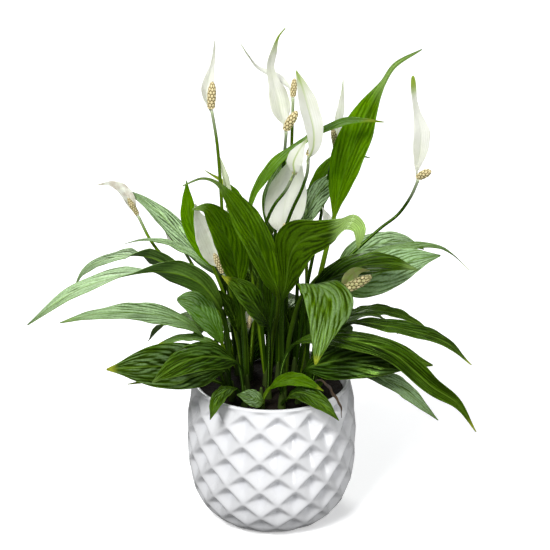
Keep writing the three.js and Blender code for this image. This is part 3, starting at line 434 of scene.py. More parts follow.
# Outlines give the half width as a share of the widest, from the base of the blade to its tip.
LEAF_OUTLINE = [
    [0, 0.07], [0.08, 0.42], [0.22, 0.84], [0.4, 1], [0.58, 0.93], [0.76, 0.62], [0.9, 0.25], [1, 0.035]
]
BASAL_OUTLINE = [[0, 0.3], [0.12, 0.8], [0.3, 1], [0.6, 0.95], [0.85, 0.6], [1, 0.1]]
SLIM_OUTLINE = [
    [0, 0.12], [0.1, 0.6], [0.25, 1], [0.4, 0.85], [0.55, 0.5], [0.7, 0.3], [0.85, 0.2], [1, 0.06]
]
# What a blade has where its own call says nothing: where its upper side looks, how many degrees
# its halves fold up and its length twists, the heights of its ripples, its frill and its pleats,
# the share of it that is a thin tail, and how stout its stalk is.
USUAL_FORM = {
    "face": [0, 0, 1], "fold": 20, "twist": 0, "wave": 0, "frill": 0.5, "pleat": 0, "tail": 0, "stout": 1
}
SHOOTS = {}


def add_shoot(name, x, y):
    """Begins a shoot at its foot in the soil. The leaves and blooms named next belong to it."""
    SHOOTS[name] = {"foot": [x, y], "leaves": {}, "blooms": {}}


def add_leaf(name, wide, looks, stem, blade, **form):
    """A leaf: half its width, its looks, the points of its stem between soil and neck, and those
    of its blade from neck to tip. Its looks are how much light comes through, which also paints
    its blade and stalk a lit yellow-green, how much painted sheen its upper side has, and how far
    down from its tip it has turned yellow and has faded. Its form can change what USUAL_FORM says
    and give an outline of its own."""
    leaves = list(SHOOTS.values())[-1]["leaves"]
    leaves[name] = {**USUAL_FORM, "wide": wide, "looks": looks, "stem": stem, "blade": blade, **form}


def add_bloom(name, wide, fold, face, looks, stalk, blade, spike=None, radius=0, age=0, lit=0.1, **form):
    """A bloom: its white hood's half width, fold, upper side and looks, the points of its stalk
    and of the hood, and the tip of its spike. The hood's looks are how green its tip is, how
    green all of it is, and how brown it has gone. A spike can be aged, and a stalk given painted
    light."""
    hood = {**USUAL_FORM, "wide": wide, "fold": fold, "face": face, "blade": blade, **form}
    bloom = {"stalk": stalk, "hood": hood, "looks": looks, "spike": spike, "radius": radius}
    list(SHOOTS.values())[-1]["blooms"][name] = {**bloom, "age": age, "lit": lit}


add_shoot("left_arches", -40, -2)
add_leaf("long_arch", 16, (0.3, 0.9), [[-38, -5, 160]],
    [[-44, -8, 199], [-63, -12, 228], [-93, -20, 242], [-131, -30, 241], [-174, -42, 229],
     [-210, -55, 206]],
    fold=18, face=[0, 0.36, 0.93], wave=2, twist=[[0, 60], [0.3, 45], [0.5, -12], [0.7, -35], [1, -40]],
    stout=1.2)
add_leaf("small_glossy", 12, (1, 0.6), [[-40, -1, 142]],
    [[-44, -2, 165], [-52, -10, 187], [-61, -18, 204], [-70, -26, 216], [-82, -32, 221]],
    outline=[[0, 0.07], [0.12, 0.4], [0.32, 0.8], [0.58, 1], [0.78, 0.9], [0.92, 0.55], [1, 0.12]],
    fold=[20, 10], face=[0.2, -0.8, 0.5])
add_shoot("left_behind", -41, 14)
add_leaf("level", 13, (0.3, 0.9), [[-56, 20, 180]],
    [[-73, 25, 214], [-96, 32, 230], [-119, 36, 236], [-151, 40, 230], [-171, 42, 218], [-179, 42, 204]],
    fold=12, face=[0, 0.36, 0.93], wave=1.5, twist=[[0, 60], [0.35, 40], [0.5, -25], [1, -50]])
add_leaf("edge_on", 6, (0.4, 0.9), [[-42, 24, 175]],
    [[-45, 30, 215], [-65, 42, 230], [-83, 50, 238], [-102, 56, 243], [-120, 60, 242], [-134, 62, 238]],
    fold=10)
add_shoot("back_left", -31, 30)
add_leaf("silver_sheen", 10, (0.3, 1), [[-36, 38, 165]],
    [[-42, 45, 206], [-61, 58, 222], [-81, 70, 240], [-100, 80, 257], [-119, 88, 271], [-141, 95, 282]],
    fold=18, face=[0.5, -0.9, 0.6], wave=1.5)
add_bloom("brown", 7, 35, [0.5, -0.8, 0.4], (0.2, 0.1, 0.5),
    [[-48, 38, 165], [-65, 45, 199], [-98, 64, 223], [-111, 70, 238], [-122, 74, 260]],
    [[-126, 79, 264], [-131, 82, 274], [-138, 85, 283], [-148, 85, 288], [-159, 82, 288]],
    spike=[-131, 73, 278], radius=2.8, age=0.3, lit=1.2)
add_bloom("small_left", 8, 30, [0.5, -0.8, 0.4], (0.1, 0.1),
    [[-44, 46, 165], [-62, 66, 195], [-76, 80, 215], [-82, 84, 224]],
    [[-86, 91, 227], [-92, 94, 233], [-97, 94, 239], [-100, 92, 244]],
    spike=[-91, 80, 237], radius=2.3, lit=1.1)
add_shoot("front_left_low", -35, -27)
add_leaf("broad_low", 21, (0.1, 0.2, 0.06), [[-37, -30, 140]],
    [[-40, -31, 153], [-67, -42, 161], [-97, -54, 167], [-122, -62, 169], [-142, -68, 170]],
    fold=10, face=[0.1, -0.85, 0.5], wave=1.5)
add_leaf("yellow_tip", 8, (0.6, 0.6, 0.25), [[-42, -22, 134]],
    [[-56, -24, 141], [-80, -34, 146], [-104, -43, 148], [-126, -48, 147]])
add_shoot("front_left_lip", -24, -37)
add_leaf("pointed", 15, (0.08, 0.06, 0, 0.06), [[-26, -38, 148]],
    [[-30, -39, 163], [-49, -52, 175], [-70, -66, 178], [-87, -76, 173], [-102, -82, 164]],
    fold=12, face=[0.1, -0.6, 0.8], wave=1.5)
add_leaf("over_lip", 8, (0.2, 0.12), [[-28, -40, 132]],
    [[-31, -42, 140], [-38, -52, 144], [-46, -63, 140], [-53, -78, 127]],
    fold=12)
add_shoot("left_slim", -39, -15)
add_leaf("pale_striped", 13, (0.6, 0.8, 0, 0.1), [[-48, -17, 150]],
    [[-58, -19, 176], [-72, -26, 194], [-93, -33, 205], [-127, -42, 212], [-161, -50, 212],
     [-182, -55, 208]],
    fold=12, face=[0, -0.3, 1], wave=1.5)
add_leaf("slim", 8, (0.7, 0.4, 0.15), [[-39, -19, 148]],
    [[-42, -22, 168], [-54, -25, 177], [-71, -27, 182], [-89, -31, 181], [-105, -35, 176]],
    fold=15)
add_shoot("centre_left", -24, 3)
add_leaf("bright_upright", 9, (1, 0), [[-34, 10, 180]],
    [[-52, 20, 230], [-63, 24, 250], [-73, 30, 272], [-75, 34, 289], [-75, 30, 309]],
    face=[0.2, -0.8, 0.3])
add_leaf("small_dark", 8, (0.15, 0.03), [[-27, 4, 150]],
    [[-30, 5, 174], [-37, 2, 198], [-45, -1, 212], [-52, -3, 220]],
    fold=15, face=[0.6, -0.6, 0.5])
add_bloom("cream", 14, 28, [0.3, -0.9, 0.3], (0.2, 0.1, 0.22),
    [[-25, 1, 160], [-27, -2, 192], [-35, -4, 218], [-42, -6, 234]],
    [[-47, -1, 240], [-52, 2, 256], [-59, 2, 273], [-64, -1, 286], [-66, -5, 299]],
    spike=[-50, -10, 255], radius=3.2)
add_shoot("dark_upright", -22, -13)
add_leaf("curled_tip", 16, (0.5, 0, 0, 0.1), [[-23, -9, 175]],
    [[-28, -5, 217], [-31, -6, 240], [-37, -14, 266], [-46, -24, 290], [-56, -33, 305], [-67, -40, 306]],
    fold=15, face=[0.5, -0.8, 0.2], wave=1.5, stout=1.2)
add_bloom("low_white", 5, 30, [0, -1, 0.2], (0.1, 0.05),
    [[-24, -6, 150], [-24, -3, 166], [-21, -2, 180]],
    [[-20, 2, 183], [-20, 4, 190], [-19, 3, 197], [-18, 1, 202]],
    spike=[-19, -3, 194], radius=2)
add_shoot("tall_left", -20, 19)
add_leaf("lime_bud", 7, (1, 0.1, 0.3), [[-14, 22, 200]],
    [[-8, 27, 253], [-23, 35, 280], [-41, 40, 301], [-59, 41, 315]],
    fold=30)
add_bloom("tall", 6, 28, [0.35, -1, 0.1], (0.1, 0.03),
    [[-33, 12, 190], [-42, 10, 251], [-44, 10, 302], [-47, 8, 350], [-51, 6, 379]],
    [[-55, 11, 384], [-56, 14, 394], [-54, 16, 404], [-51, 18, 415], [-49, 18, 427], [-48, 16, 439]],
    outline=SLIM_OUTLINE, spike=[-50, 2, 406], radius=4, lit=0.95)
add_bloom("bud", 7.5, 62, [0.7, -1, 0.1], (0.5, 0.45),
    [[-25, 21, 180], [-28, 22, 218], [-34, 24, 250], [-39, 26, 273]],
    [[-39, 29, 283], [-41, 30, 303], [-44, 30, 322], [-48, 28, 339]],
    lit=1.1)
add_shoot("centre_arch", -3, -22)
add_leaf("folded_arch", 18, (0.65, 0.05, 0, 0.25), [[0, -18, 170]],
    [[6, -14, 215], [-5, -20, 249], [-15, -26, 275], [-27, -34, 300], [-38, -42, 320], [-47, -48, 333],
     [-58, -51, 337], [-74, -52, 331]],
    tail=0.18, fold=[24, 12], face=[0.5, -0.8, 0.5], wave=1.5, stout=1.2)
add_leaf("dark_pointed", 14.5, (0.1, 0.03, 0.1), [[-2, -28, 160]],
    [[-3, -36, 197], [-12, -47, 218], [-24, -55, 236], [-42, -61, 254]],
    fold=15, face=[0.4, -0.6, 0.7])
add_shoot("front_small", -9, -41)
add_leaf("over_soil", 8, (0.6, 0.6), [[-8, -44, 126]],
    [[-7, -47, 129], [-13, -52, 134], [-21, -57, 139], [-30, -61, 143]],
    fold=15, face=[0.2, -0.8, 0.6])
add_leaf("bright_curl", 7, (0.9, 0.1, 0.1), [[-7, -44, 132]],
    [[-2, -47, 142], [8, -53, 152], [20, -60, 157], [33, -66, 156], [45, -71, 151]],
    fold=16, face=[0, -0.6, 0.8])
add_shoot("front_right_lip", 9, -41)
add_leaf("over_lip", 9, (0.2, 0.12), [[10, -46, 129]],
    [[13, -52, 134], [19, -57, 142], [28, -65, 146], [40, -75, 143], [49, -83, 139], [58, -88, 131]],
    fold=18, face=[0, -0.6, 0.8])
add_leaf("long_low", 12, (0.1, 0.02, 0.05), [[9, -42, 160]],
    [[18, -45, 182], [32, -51, 191], [64, -66, 197], [103, -80, 190], [136, -90, 164], [158, -94, 150],
     [175, -98, 125]],
    fold=16, face=[0, -0.45, 0.85], wave=1.5, twist=20)
add_shoot("front_right_broad", 24, -31)
add_leaf("broad_dark", 20, (0.03, 0.1), [[28, -34, 145]],
    [[30, -38, 156], [55, -48, 169], [83, -56, 176], [111, -62, 178], [139, -66, 173]],
    fold=12, face=[0, -0.75, 0.65], wave=1.5)
add_shoot("front_centre", 11, -19)
add_leaf("big_upright", 22, (0.25, 0, 0, 0.3), [[9, -24, 170]],
    [[10, -28, 218], [13, -34, 238], [15, -41, 258], [19, -49, 274], [29, -58, 286], [41, -68, 293],
     [54, -79, 301], [65, -88, 311], [72, -95, 308], [71, -100, 292]],
    outline=[[0, 0.05], [0.1, 0.35], [0.22, 0.75], [0.34, 1], [0.45, 0.9], [0.56, 0.66], [0.66, 0.52],
     [0.77, 0.5], [0.88, 0.3], [1, 0.03]], fold=12, face=[-0.3, -0.8, 0.45], wave=1.5,
    twist=[[0, 0], [0.6, 0], [0.75, -50], [1, -60]], stout=1.35)
add_leaf("drooping", 26, (0.55, 0.33, 0.06), [[16, -22, 180]],
    [[27, -31, 224], [39, -46, 240], [47, -60, 234], [45, -78, 221], [41, -91, 205], [37, -101, 189]],
    outline=[[0, 0.07], [0.1, 0.35], [0.24, 0.8], [0.38, 1], [0.52, 0.86], [0.68, 0.56], [0.84, 0.28],
     [1, 0.03]], fold=10, face=[0.45, -0.3, 1], wave=1.5, stout=1.2)
add_shoot("right_dark", 34, -13)
add_leaf("dark_level", 14, (0.04, 0.04, 0, 0.12), [[32, -14, 180]],
    [[35, -10, 217], [54, -14, 234], [77, -18, 246], [103, -22, 250], [127, -26, 246]],
    fold=14, face=[0, -0.55, 0.8], wave=1.5)
add_leaf("low_long", 11, (0.08, 0.06, 0.05), [[46, -15, 165]],
    [[69, -18, 192], [100, -24, 192], [126, -28, 188], [152, -32, 180], [176, -36, 160]],
    fold=16, face=[0, -0.2, 0.9])
add_bloom("greenish", 7, 30, [0.2, -1, 0.1], (0.6, 0.9, 0.5),
    [[37, -20, 165], [47, -32, 205], [60, -36, 227]],
    [[63, -32, 231], [67, -29, 239], [74, -29, 246], [85, -31, 247]],
    spike=[86, -42, 246], radius=4.8, age=0.6)
add_shoot("right_striped", 40, 2)
add_leaf("pale_level", 18, (0.8, 1), [[48, 3, 175]],
    [[59, 4, 211], [85, 5, 225], [107, 7, 235], [129, 10, 242], [150, 12, 245]],
    fold=12, face=[0, -0.85, 0.55], wave=1.5)
add_leaf("low_right", 9, (0.12, 0.05), [[50, 0, 165]],
    [[66, -2, 192], [89, 0, 197], [108, 2, 194], [125, 2, 187], [143, 0, 177]],
    fold=16, face=[0, -0.2, 1])
add_shoot("right_back", 36, 17)
add_leaf("far_right", 9, (0.6, 0.5, 0.08), [[48, 19, 185]],
    [[66, 22, 228], [88, 26, 239], [109, 30, 243], [129, 36, 244], [148, 42, 242], [164, 46, 233],
     [180, 49, 217]],
    fold=18)
add_leaf("behind", 12, (0.4, 0.9), [[44, 32, 185]],
    [[60, 36, 225], [78, 45, 236], [98, 55, 240], [120, 62, 240], [140, 66, 231]],
    fold=18, face=[0, -0.7, 0.7])
add_shoot("right_low", 36, -26)
add_leaf("low_pointed", 9.5, (0.35, 0.75), [[50, -28, 146]],
    [[72, -31, 153], [92, -36, 150], [111, -42, 143], [129, -46, 129], [147, -50, 113]],
    fold=16, face=[0, -0.4, 0.9])
add_shoot("tall_right", 23, 7)
add_leaf("tall_upright", 17, (1, 0.06, 0, 0.33), [[34, 14, 180], [46, 20, 235]],
    [[55, 25, 274], [58, 28, 291], [65, 30, 319], [75, 31, 349], [87, 32, 379], [97, 33, 397],
     [107, 35, 412], [130, 36, 426]],
    outline=[[0, 0.05], [0.07, 0.3], [0.18, 0.75], [0.32, 1], [0.46, 0.95], [0.6, 0.62], [0.7, 0.3],
     [0.76, 0.17], [0.88, 0.14], [1, 0.03]], fold=18, face=[-0.6, -0.9, 0.3], wave=1.5, stout=1.3)
add_bloom("far", 9, 24, [0.4, -1, 0.1], (1.1, 0.03),
    [[34, 10, 190], [48, 16, 220], [70, 22, 241], [97, 30, 264], [113, 34, 276], [124, 36, 292],
     [130, 36, 307]],
    [[129, 40, 314], [131, 42, 328], [132, 43, 348], [128, 43, 367], [125, 41, 382], [123, 38, 402]],
    outline=[[0, 0.12], [0.1, 0.55], [0.25, 0.95], [0.38, 1], [0.5, 0.7], [0.62, 0.4], [0.75, 0.3],
     [0.88, 0.32], [0.96, 0.25], [1, 0.1]], spike=[140, 26, 319], radius=4)
add_shoot("back_arch", -5, 6)
add_leaf("over_top", 10, (1, 0.3, 0.1), [[-14, 8, 200]],
    [[-21, 10, 279], [-8, 12, 313], [12, 16, 336], [34, 25, 348], [59, 16, 364], [80, 2, 372],
     [96, -6, 373]],
    fold=22, wave=1.5)
add_bloom("cup", 8.5, 30, [0.5, 0.9, 0.2], (0.3, 0.2),
    [[-9, 5, 200], [-9, 0, 262], [-3, 4, 283], [3, 6, 295], [12, 9, 306], [19, 10, 320]],
    [[20, 0, 326], [19, -2, 335], [23, -2, 345], [31, -1, 357]],
    spike=[24, 12, 333], radius=2.4, age=0.3)
add_bloom("big_behind", 20, 24, [0.1, -1, 0.2], (0.1, 0.08),
    [[-1, 9, 180], [5, 14, 225], [9, 19, 252]],
    [[9, 26, 262], [11, 28, 282], [15, 28, 304], [21, 28, 325], [27, 31, 342]],
    spike=[12, 13, 275], radius=3)
add_shoot("centre_blooms", 9, -3)
add_bloom("large", 10.5, 24, [0.5, 0.9, 0.1], (0.6, 0.08),
    [[8, -3, 190], [8, -2, 258], [17, 0, 289], [26, 2, 309], [31, 2, 325], [32, 2, 338]],
    [[33, -4, 342], [36, -9, 352], [36, -11, 367], [31, -10, 388], [26, -8, 405], [21, -5, 418]],
    outline=[[0, 0.1], [0.09, 0.42], [0.25, 0.78], [0.45, 1], [0.65, 0.93], [0.84, 0.5], [1, 0.05]],
    spike=[43, 7, 359], radius=3.4, age=0.75)
add_shoot("centre_back", 6, 15)
add_leaf("behind_tall", 11, (0.2, 0.3), [[5, 30, 190]],
    [[0, 52, 250], [0, 62, 282], [12, 70, 306], [33, 80, 337]],
    fold=18, face=[0.5, -0.9, 0.3])
add_bloom("hooded", 11, 24, [0.6, -0.9, 0.1], (1.4, 0.03, 0.02),
    [[3, 20, 190], [1, 26, 238], [8, 33, 291], [11, 35, 327], [13, 34, 352]],
    [[11, 39, 358], [9, 44, 364], [6, 47, 378], [2, 47, 393], [-1, 46, 408], [2, 44, 422], [6, 43, 435],
     [12, 43, 443]],
    outline=[[0, 0.12], [0.07, 0.6], [0.18, 1], [0.3, 0.95], [0.42, 0.6], [0.55, 0.42], [0.7, 0.4],
     [0.8, 0.25], [0.88, 0.12], [1, 0.05]], spike=[22, 27, 373], radius=4.2)
add_bloom("leaning", 6, 30, [0.5, -0.4, 0.8], (0.4, 0.05),
    [[9, 22, 190], [13, 33, 245], [17, 41, 297], [18, 44, 342], [19, 44, 380]],
    [[16, 50, 387], [11, 55, 391], [2, 60, 396], [-12, 62, 403], [-20, 63, 413], [-27, 64, 424]],
    outline=SLIM_OUTLINE, spike=[20, 40, 399], radius=3, lit=1)
add_shoot("back_right", 21, 25)
add_leaf("half_hidden", 11, (0.2, 0.85), [[23, 30, 200]],
    [[27, 36, 262], [37, 40, 286], [50, 44, 301], [66, 48, 311]],
    fold=18, face=[0, -0.8, 0.6])
add_bloom("upright", 5, 40, [-0.4, -1, 0.1], (0.5, 0.08),
    [[29, 30, 190], [42, 40, 259], [50, 46, 304], [56, 48, 332]],
    [[58, 52, 338], [59, 55, 350], [62, 56, 370], [63, 54, 395]],
    spike=[54, 43, 353], radius=3)
add_shoot("far_back_right", 31, 33)
add_leaf("behind_upright", 11, (0.95, 0), [[32, 42, 190]],
    [[33, 52, 262], [43, 58, 300], [58, 63, 317], [75, 66, 321], [89, 68, 318]],
    fold=18)
add_bloom("small_back", 5, 30, [0.1, -1, 0.2], (0.2, 0.1),
    [[38, 30, 190], [46, 27, 227], [52, 28, 256]],
    [[52, 31, 261], [51, 33, 268], [48, 32, 277], [45, 30, 284]],
    spike=[50, 26, 272], radius=2.2)
add_shoot("withered", 31, -41)
add_leaf("strip", 2, (), [[35, -43, 136]],
    [[40, -46, 150], [47, -53, 150], [54, -60, 142], [60, -66, 134], [61, -68, 124]],
    fold=35)
add_shoot("rear_left", -20, 41)
add_leaf("one", 16, (0.18, 0.12), [[-26, 50, 150]],
    [[-34, 62, 150], [-48, 82, 150], [-62, 102, 140], [-74, 122, 118]],
    fold=14, wave=1.5)
add_leaf("two", 14, (0.15, 0.12), [[-34, 46, 145]],
    [[-52, 52, 152], [-78, 66, 160], [-102, 80, 150], [-118, 92, 128]],
    fold=14, wave=1.5)
add_leaf("inner", 13, (0.1, 0), [[-22, 44, 140]],
    [[-24, 47, 152], [-26, 50, 180], [-30, 54, 205], [-36, 58, 225]],
    outline=BASAL_OUTLINE, fold=14, face=[0.1, -1, 0.2])
add_leaf("low", 11, (0, 0), [[-19, 40, 127]],
    [[-18, 39, 132], [-17, 37, 150], [-17, 37, 168], [-19, 38, 184]],
    outline=BASAL_OUTLINE, face=[0, -1, 0.2])
add_shoot("rear_centre", -2, 37)
add_leaf("one", 17, (0.18, 0.12), [[-4, 50, 150]],
    [[-8, 66, 186], [-14, 92, 212], [-22, 122, 214], [-30, 150, 192]],
    fold=14, wave=1.5)
add_leaf("two", 14, (0.15, 0.12), [[2, 48, 142]],
    [[8, 62, 158], [16, 86, 172], [26, 112, 166], [34, 134, 144]],
    fold=14, wave=1.5)
add_leaf("inner", 13, (0.1, 0), [[-1, 41, 140]],
    [[0, 44, 152], [2, 47, 180], [4, 52, 208], [4, 60, 228]],
    outline=BASAL_OUTLINE, fold=14, face=[0, -1, 0.2])
add_leaf("low", 11, (0, 0), [[0, 35, 127]],
    [[2, 33, 132], [5, 31, 150], [8, 31, 168], [9, 33, 184]],
    outline=BASAL_OUTLINE, face=[0, -1, 0.2])
add_shoot("rear_right", 18, 43)
add_leaf("one", 16, (0.18, 0.12), [[26, 52, 150]],
    [[36, 62, 150], [50, 82, 152], [64, 102, 142], [76, 122, 120]],
    fold=14, wave=1.5)
add_leaf("two", 14, (0.15, 0.12), [[32, 50, 145]],
    [[50, 56, 156], [76, 70, 164], [102, 84, 156], [120, 96, 134]],
    fold=14, wave=1.5)
add_leaf("inner", 14, (0.1, 0), [[20, 44, 138]],
    [[26, 45, 150], [36, 47, 176], [46, 51, 200], [54, 56, 216]],
    outline=BASAL_OUTLINE, fold=14, face=[-0.1, -1, 0.2])
add_leaf("low", 9, (0, 0), [[17, 41, 127]],
    [[18, 40, 132], [18, 38, 150], [18, 39, 168], [19, 41, 184]],
    outline=BASAL_OUTLINE, face=[0, -1, 0.2])

FOOT_RADIUS = 3.8
PETIOLE_RADIUS = 2.0
STALK_RADIUS = 1.8
STALK_TOP_RADIUS = 1.35
HOLE_BOTTOM = 102.35
SHEATH_TOP = 141.0
SHEATH_TAPER = [1, 1, 1, 0.95, 0.8, 0.6, 0.25]
ROOT_HEIGHT = 123.6
BLADE_HALF_THICKNESS = 0.24
PLEAT_HEIGHT = 0.5
# A blade's bow as a share of its half width, the number of ripples along its edge, and the
# share of its length at which a plain twist leaves it as it is.
BLADE_BOW = 0.12
RIPPLES = 1.6
UNTWISTED_AT = 0.4
# The upper side of a plain stem looks this way, halfway along it.
STEM_FACE = (1, 0.2, 0.1)
# How much of its radius a stalk loses from the soil to the tip of the leaf, and how much of its
# depth the channel along its upper side takes. The groove over the rib is in millimetres.
STALK_TAPER = 0.45
CHANNEL_SHARE = 0.55
GROOVE_DEPTH = 0.3
GROOVE_WIDTH = 0.8
# A plain stem has no margin, so its surface lies this far in from one.
INSIDE_MARGIN = 5
LEAF_LOOKS = ("glow", "silver_sheen", "ripe", "faded")
SHEATH_LOOKS = {"glow": 0.1, "sheath": 0.6}
# How far a flower stalk's own green shows, and its white from PALE_FROM of its length on.
STALK_SHARE = 0.7
PALE_FROM = 0.9
ACROSS_STEPS = 45
BLADE_STEPS = 72
STEM_STEPS = 22
RIPPLE_SEED = 20817
SOIL_DRAWS = 300

LEAF_DEEP = (0.002, 0.007, 0.0001, 1)
LEAF_GREEN = (0.026, 0.072, 0.0015, 1)
# Painted light: the yellow-green of lit and backlit parts of a blade.
LEAF_LIT = (0.16, 0.31, 0.0, 1)
# Painted sheen: the pale mint of lamps reflected in a leaf's upper side, put into its colour.
LEAF_PAINTED_SHEEN = (0.54, 0.76, 0.42, 1)
LEAF_FADED = (0.38, 0.58, 0.16, 1)
LEAF_RIB = (0.13, 0.24, 0.02, 1)
LEAF_RIPE = (0.45, 0.5, 0.04, 1)
LEAF_THROUGH = (0.5, 0.85, 0.0, 1)
LEAF_TINGE = (0.55, 1.0, 0.15, 1)
# Stalks and petioles are painted dark for the shade of the leaves over them, and STEM_LIT is painted light on
# those that catch it.
STEM_SHADED_GREEN = (0.003, 0.009, 0.0003, 1)
STEM_SHADED_PALE = (0.013, 0.034, 0.0015, 1)
STEM_LIT = (0.2, 0.36, 0.01, 1)
SHEATH_PALE = (0.06, 0.09, 0.02, 1)
STEM_WHITE = (0.62, 0.68, 0.48, 1)


def draws(seed, count):
    """The repeatable numbers from 0 to 1 that the solids' ripples were drawn with."""
    made = []
    for _ in range(count):
        seed = (seed + 0x6D2B79F5) & 0xFFFFFFFF
        mixed = ((seed ^ (seed >> 15)) * (1 | seed)) & 0xFFFFFFFF
        mixed = ((mixed + (mixed ^ (mixed >> 7)) * (61 | mixed)) & 0xFFFFFFFF) ^ mixed
        made.append(((mixed ^ (mixed >> 14)) & 0xFFFFFFFF) / 4294967296)
    return made


def ways(spots, face, key):
    """Directions along, beside and above a path at each of its steps. At step key the upper side
    looks towards face, and from there each step turns the last one as little as it can."""
    along = np.gradient(spots, axis=0)
    along /= np.linalg.norm(along, axis=1)[:, None]
    side = np.empty_like(along)
    side[key] = np.cross(along[key], face)
    side[key] /= np.linalg.norm(side[key])
    for steps, move in ((range(key, len(spots) - 1), 1), (range(key, 0, -1), -1)):
        for i in steps:
            turned = side[i] - along[i + move] * side[i].dot(along[i + move])
            side[i + move] = turned / np.linalg.norm(turned)
    return along, side, np.cross(side, along)


def vein_lines(s, u, phase):
    """Goes up by one from a side vein to the next. Veins leave the rib, a little after one another
    on its two sides, run out and bend towards the tip, and two slow waves make them uneven."""
    out = np.abs(u)
    lines = 6 * s - 3.2 * out - 0.8 * out**2 + phase + np.where(u > 0, 0.4, 0)
    lines = lines + 0.22 * np.sin(2 * np.pi * (1.3 * s + 0.9 * out) + 3 * phase)
    return lines + 0.12 * np.sin(2 * np.pi * (3.1 * s - 1.7 * out) + 5 * phase)


def blade_grid(leaf, outline, stem_radius, phase, roundness=1.0, thick=BLADE_HALF_THICKNESS):
    """A stalk and its blade as rings along one line. A ring goes over the upper face from edge to
    edge and back under the lower one. The halves fold up by their angles, bow down with the
    square of the way out, and ripple along their edges. The stalk's round section goes over to
    the thin blade at the neck, and stays under it as a rib that grows finer."""
    stem, tail = leaf["stem"], leaf["tail"]
    line = stem + leaf["blade"]
    neck = glide(line, [0])[1][len(stem)]
    at = np.concatenate(
        [np.linspace(0, neck, STEM_STEPS, endpoint=False), neck + (1 - neck) * np.linspace(0, 1, BLADE_STEPS)]
    )
    spots = glide(line, at)[0]
    key = int(np.abs(at - (neck + (1 - neck) * UNTWISTED_AT)).argmin())
    along, side, up = ways(spots, leaf["face"], key)
    s = ((at - neck) / (1 - neck))[:, None]
    on_blade = np.clip(s, 0, 1)

    shape = [[x * (1 - tail), share] for x, share in leaf.get("outline", outline)]
    if tail:
        shape[-1:] = [[1 - tail, 0.1], [1, 0.03]]
    share = np.interp(on_blade, *glide(shape, np.linspace(0, 1, 300))[0].T) * (s >= 0)
    radius = stem_radius * (1 - STALK_TAPER * at)[:, None]
    rib = np.where(s < 0, radius, radius[STEM_STEPS] * (0.15 + 0.75 * (1 - on_blade) ** 1.3))
    half = np.maximum(leaf["wide"] * share, np.where(s < 0, radius, np.minimum(radius, rib)))
    half = np.maximum(half, thick)

    if isinstance(leaf["twist"], list):
        turned = np.interp(on_blade, *np.transpose(leaf["twist"]))
    else:
        turned = leaf["twist"] * (on_blade - UNTWISTED_AT)
    twist = np.radians(turned) * (s >= 0)
    side, up = side * np.cos(twist) - up * np.sin(twist), up * np.cos(twist) + side * np.sin(twist)
    leafy = np.clip((s + 0.02) / 0.12, 0, 1)
    leafy = leafy**2 * (3 - 2 * leafy)

    level = np.linspace(-1, 1, ACROSS_STEPS)
    u = (np.sign(level) * np.abs(level) ** 1.3)[None, :]
    fold = np.radians(np.where(u < 0, *np.broadcast_to(leaf["fold"], 2))) * leafy
    x = u * half
    soft = np.sqrt(x**2 + roundness**2)
    lift = (soft - roundness) * np.sin(fold)
    lift = lift - BLADE_BOW * half * u**2 * leafy
    angle = RIPPLES * 2 * np.pi * on_blade + phase + np.where(u > 0, 2, 0)
    lift = lift + leaf["wave"] * share * u**2 * np.sin(angle)
    lift = lift + leaf["frill"] * share * np.abs(u) ** 3 * np.sin(angle * 2.7 + 1.1)
    lines = vein_lines(on_blade, u, phase)
    pleats = 0.5 - 0.5 * np.cos(2 * np.pi * lines)
    lift = lift + leaf["pleat"] * share * leafy * np.abs(u) ** 0.5 * pleats
    lean = fold * x / soft

    inside_rib = np.sqrt(np.maximum(rib**2 - x**2, 0))
    inside_stem = np.sqrt(np.maximum(radius**2 - x**2, 0))
    channel = 1 - CHANNEL_SHARE * np.exp(-((x / (0.5 * radius)) ** 2))
    groove = GROOVE_DEPTH * (1 - on_blade) * np.exp(-((x / GROOVE_WIDTH) ** 2))
    upper = (1 - leafy) * inside_stem * channel + leafy * (thick - groove)
    lower = np.maximum(thick * leafy, inside_rib)

    def out(depth):
        aside = side[:, None] * (x * np.cos(fold))[..., None]
        middle = spots[:, None] + aside + up[:, None] * lift[..., None]
        normal = up[:, None] * np.cos(lean)[..., None] - side[:, None] * np.sin(lean)[..., None]
        return middle + normal * depth[..., None]

    off = np.abs(x)
    marks = {"along": s, "across": u, "off": off, "edge": half - off, "leafy": leafy, "lines": lines}
    marks = {key: np.broadcast_to(values, x.shape) for key, values in marks.items()}
    marks = {key: np.concatenate([values, values[:, ::-1]], axis=1) for key, values in marks.items()}
    marks["back"] = np.concatenate([np.zeros(x.shape), np.ones(x.shape)], axis=1)
    marks["drawn"] = phase
    return {"points": np.concatenate([out(upper), out(-lower)[:, ::-1]], axis=1), "marks": marks}


def stem_grid(points, radii, around):
    """A round stem along a line, with its radius given at even steps from one end to the other."""
    steps = 12 * len(points)
    at = np.linspace(0, 1, steps)
    spots = glide(points, at)[0]
    along, side, up = ways(spots, STEM_FACE, steps // 2)
    radius = np.interp(at, np.linspace(0, 1, len(radii)), radii)[:, None, None]
    turn = np.pi * (1 - (2 * np.arange(around) + 1) / around)[None, :, None]
    points = spots[:, None] + radius * (side[:, None] * np.cos(turn) + up[:, None] * np.sin(turn))
    return {"points": points, "marks": {"along": at[:, None], "edge": INSIDE_MARGIN}}


leaf = Finish("leaf_green")
along = leaf.mark("along")
signed_across = leaf.mark("across")
across = signed_across.reckon("ABSOLUTE", signed_across)
off, edge, back, leafy = (leaf.mark(name) for name in ("off", "edge", "back", "leafy"))
glow, silver_sheen, ripe = (leaf.mark(name) for name in ("glow", "silver_sheen", "ripe"))
patches = leaf.noise(28.0, 3.0)
specks = leaf.noise(520.0, 3.0)
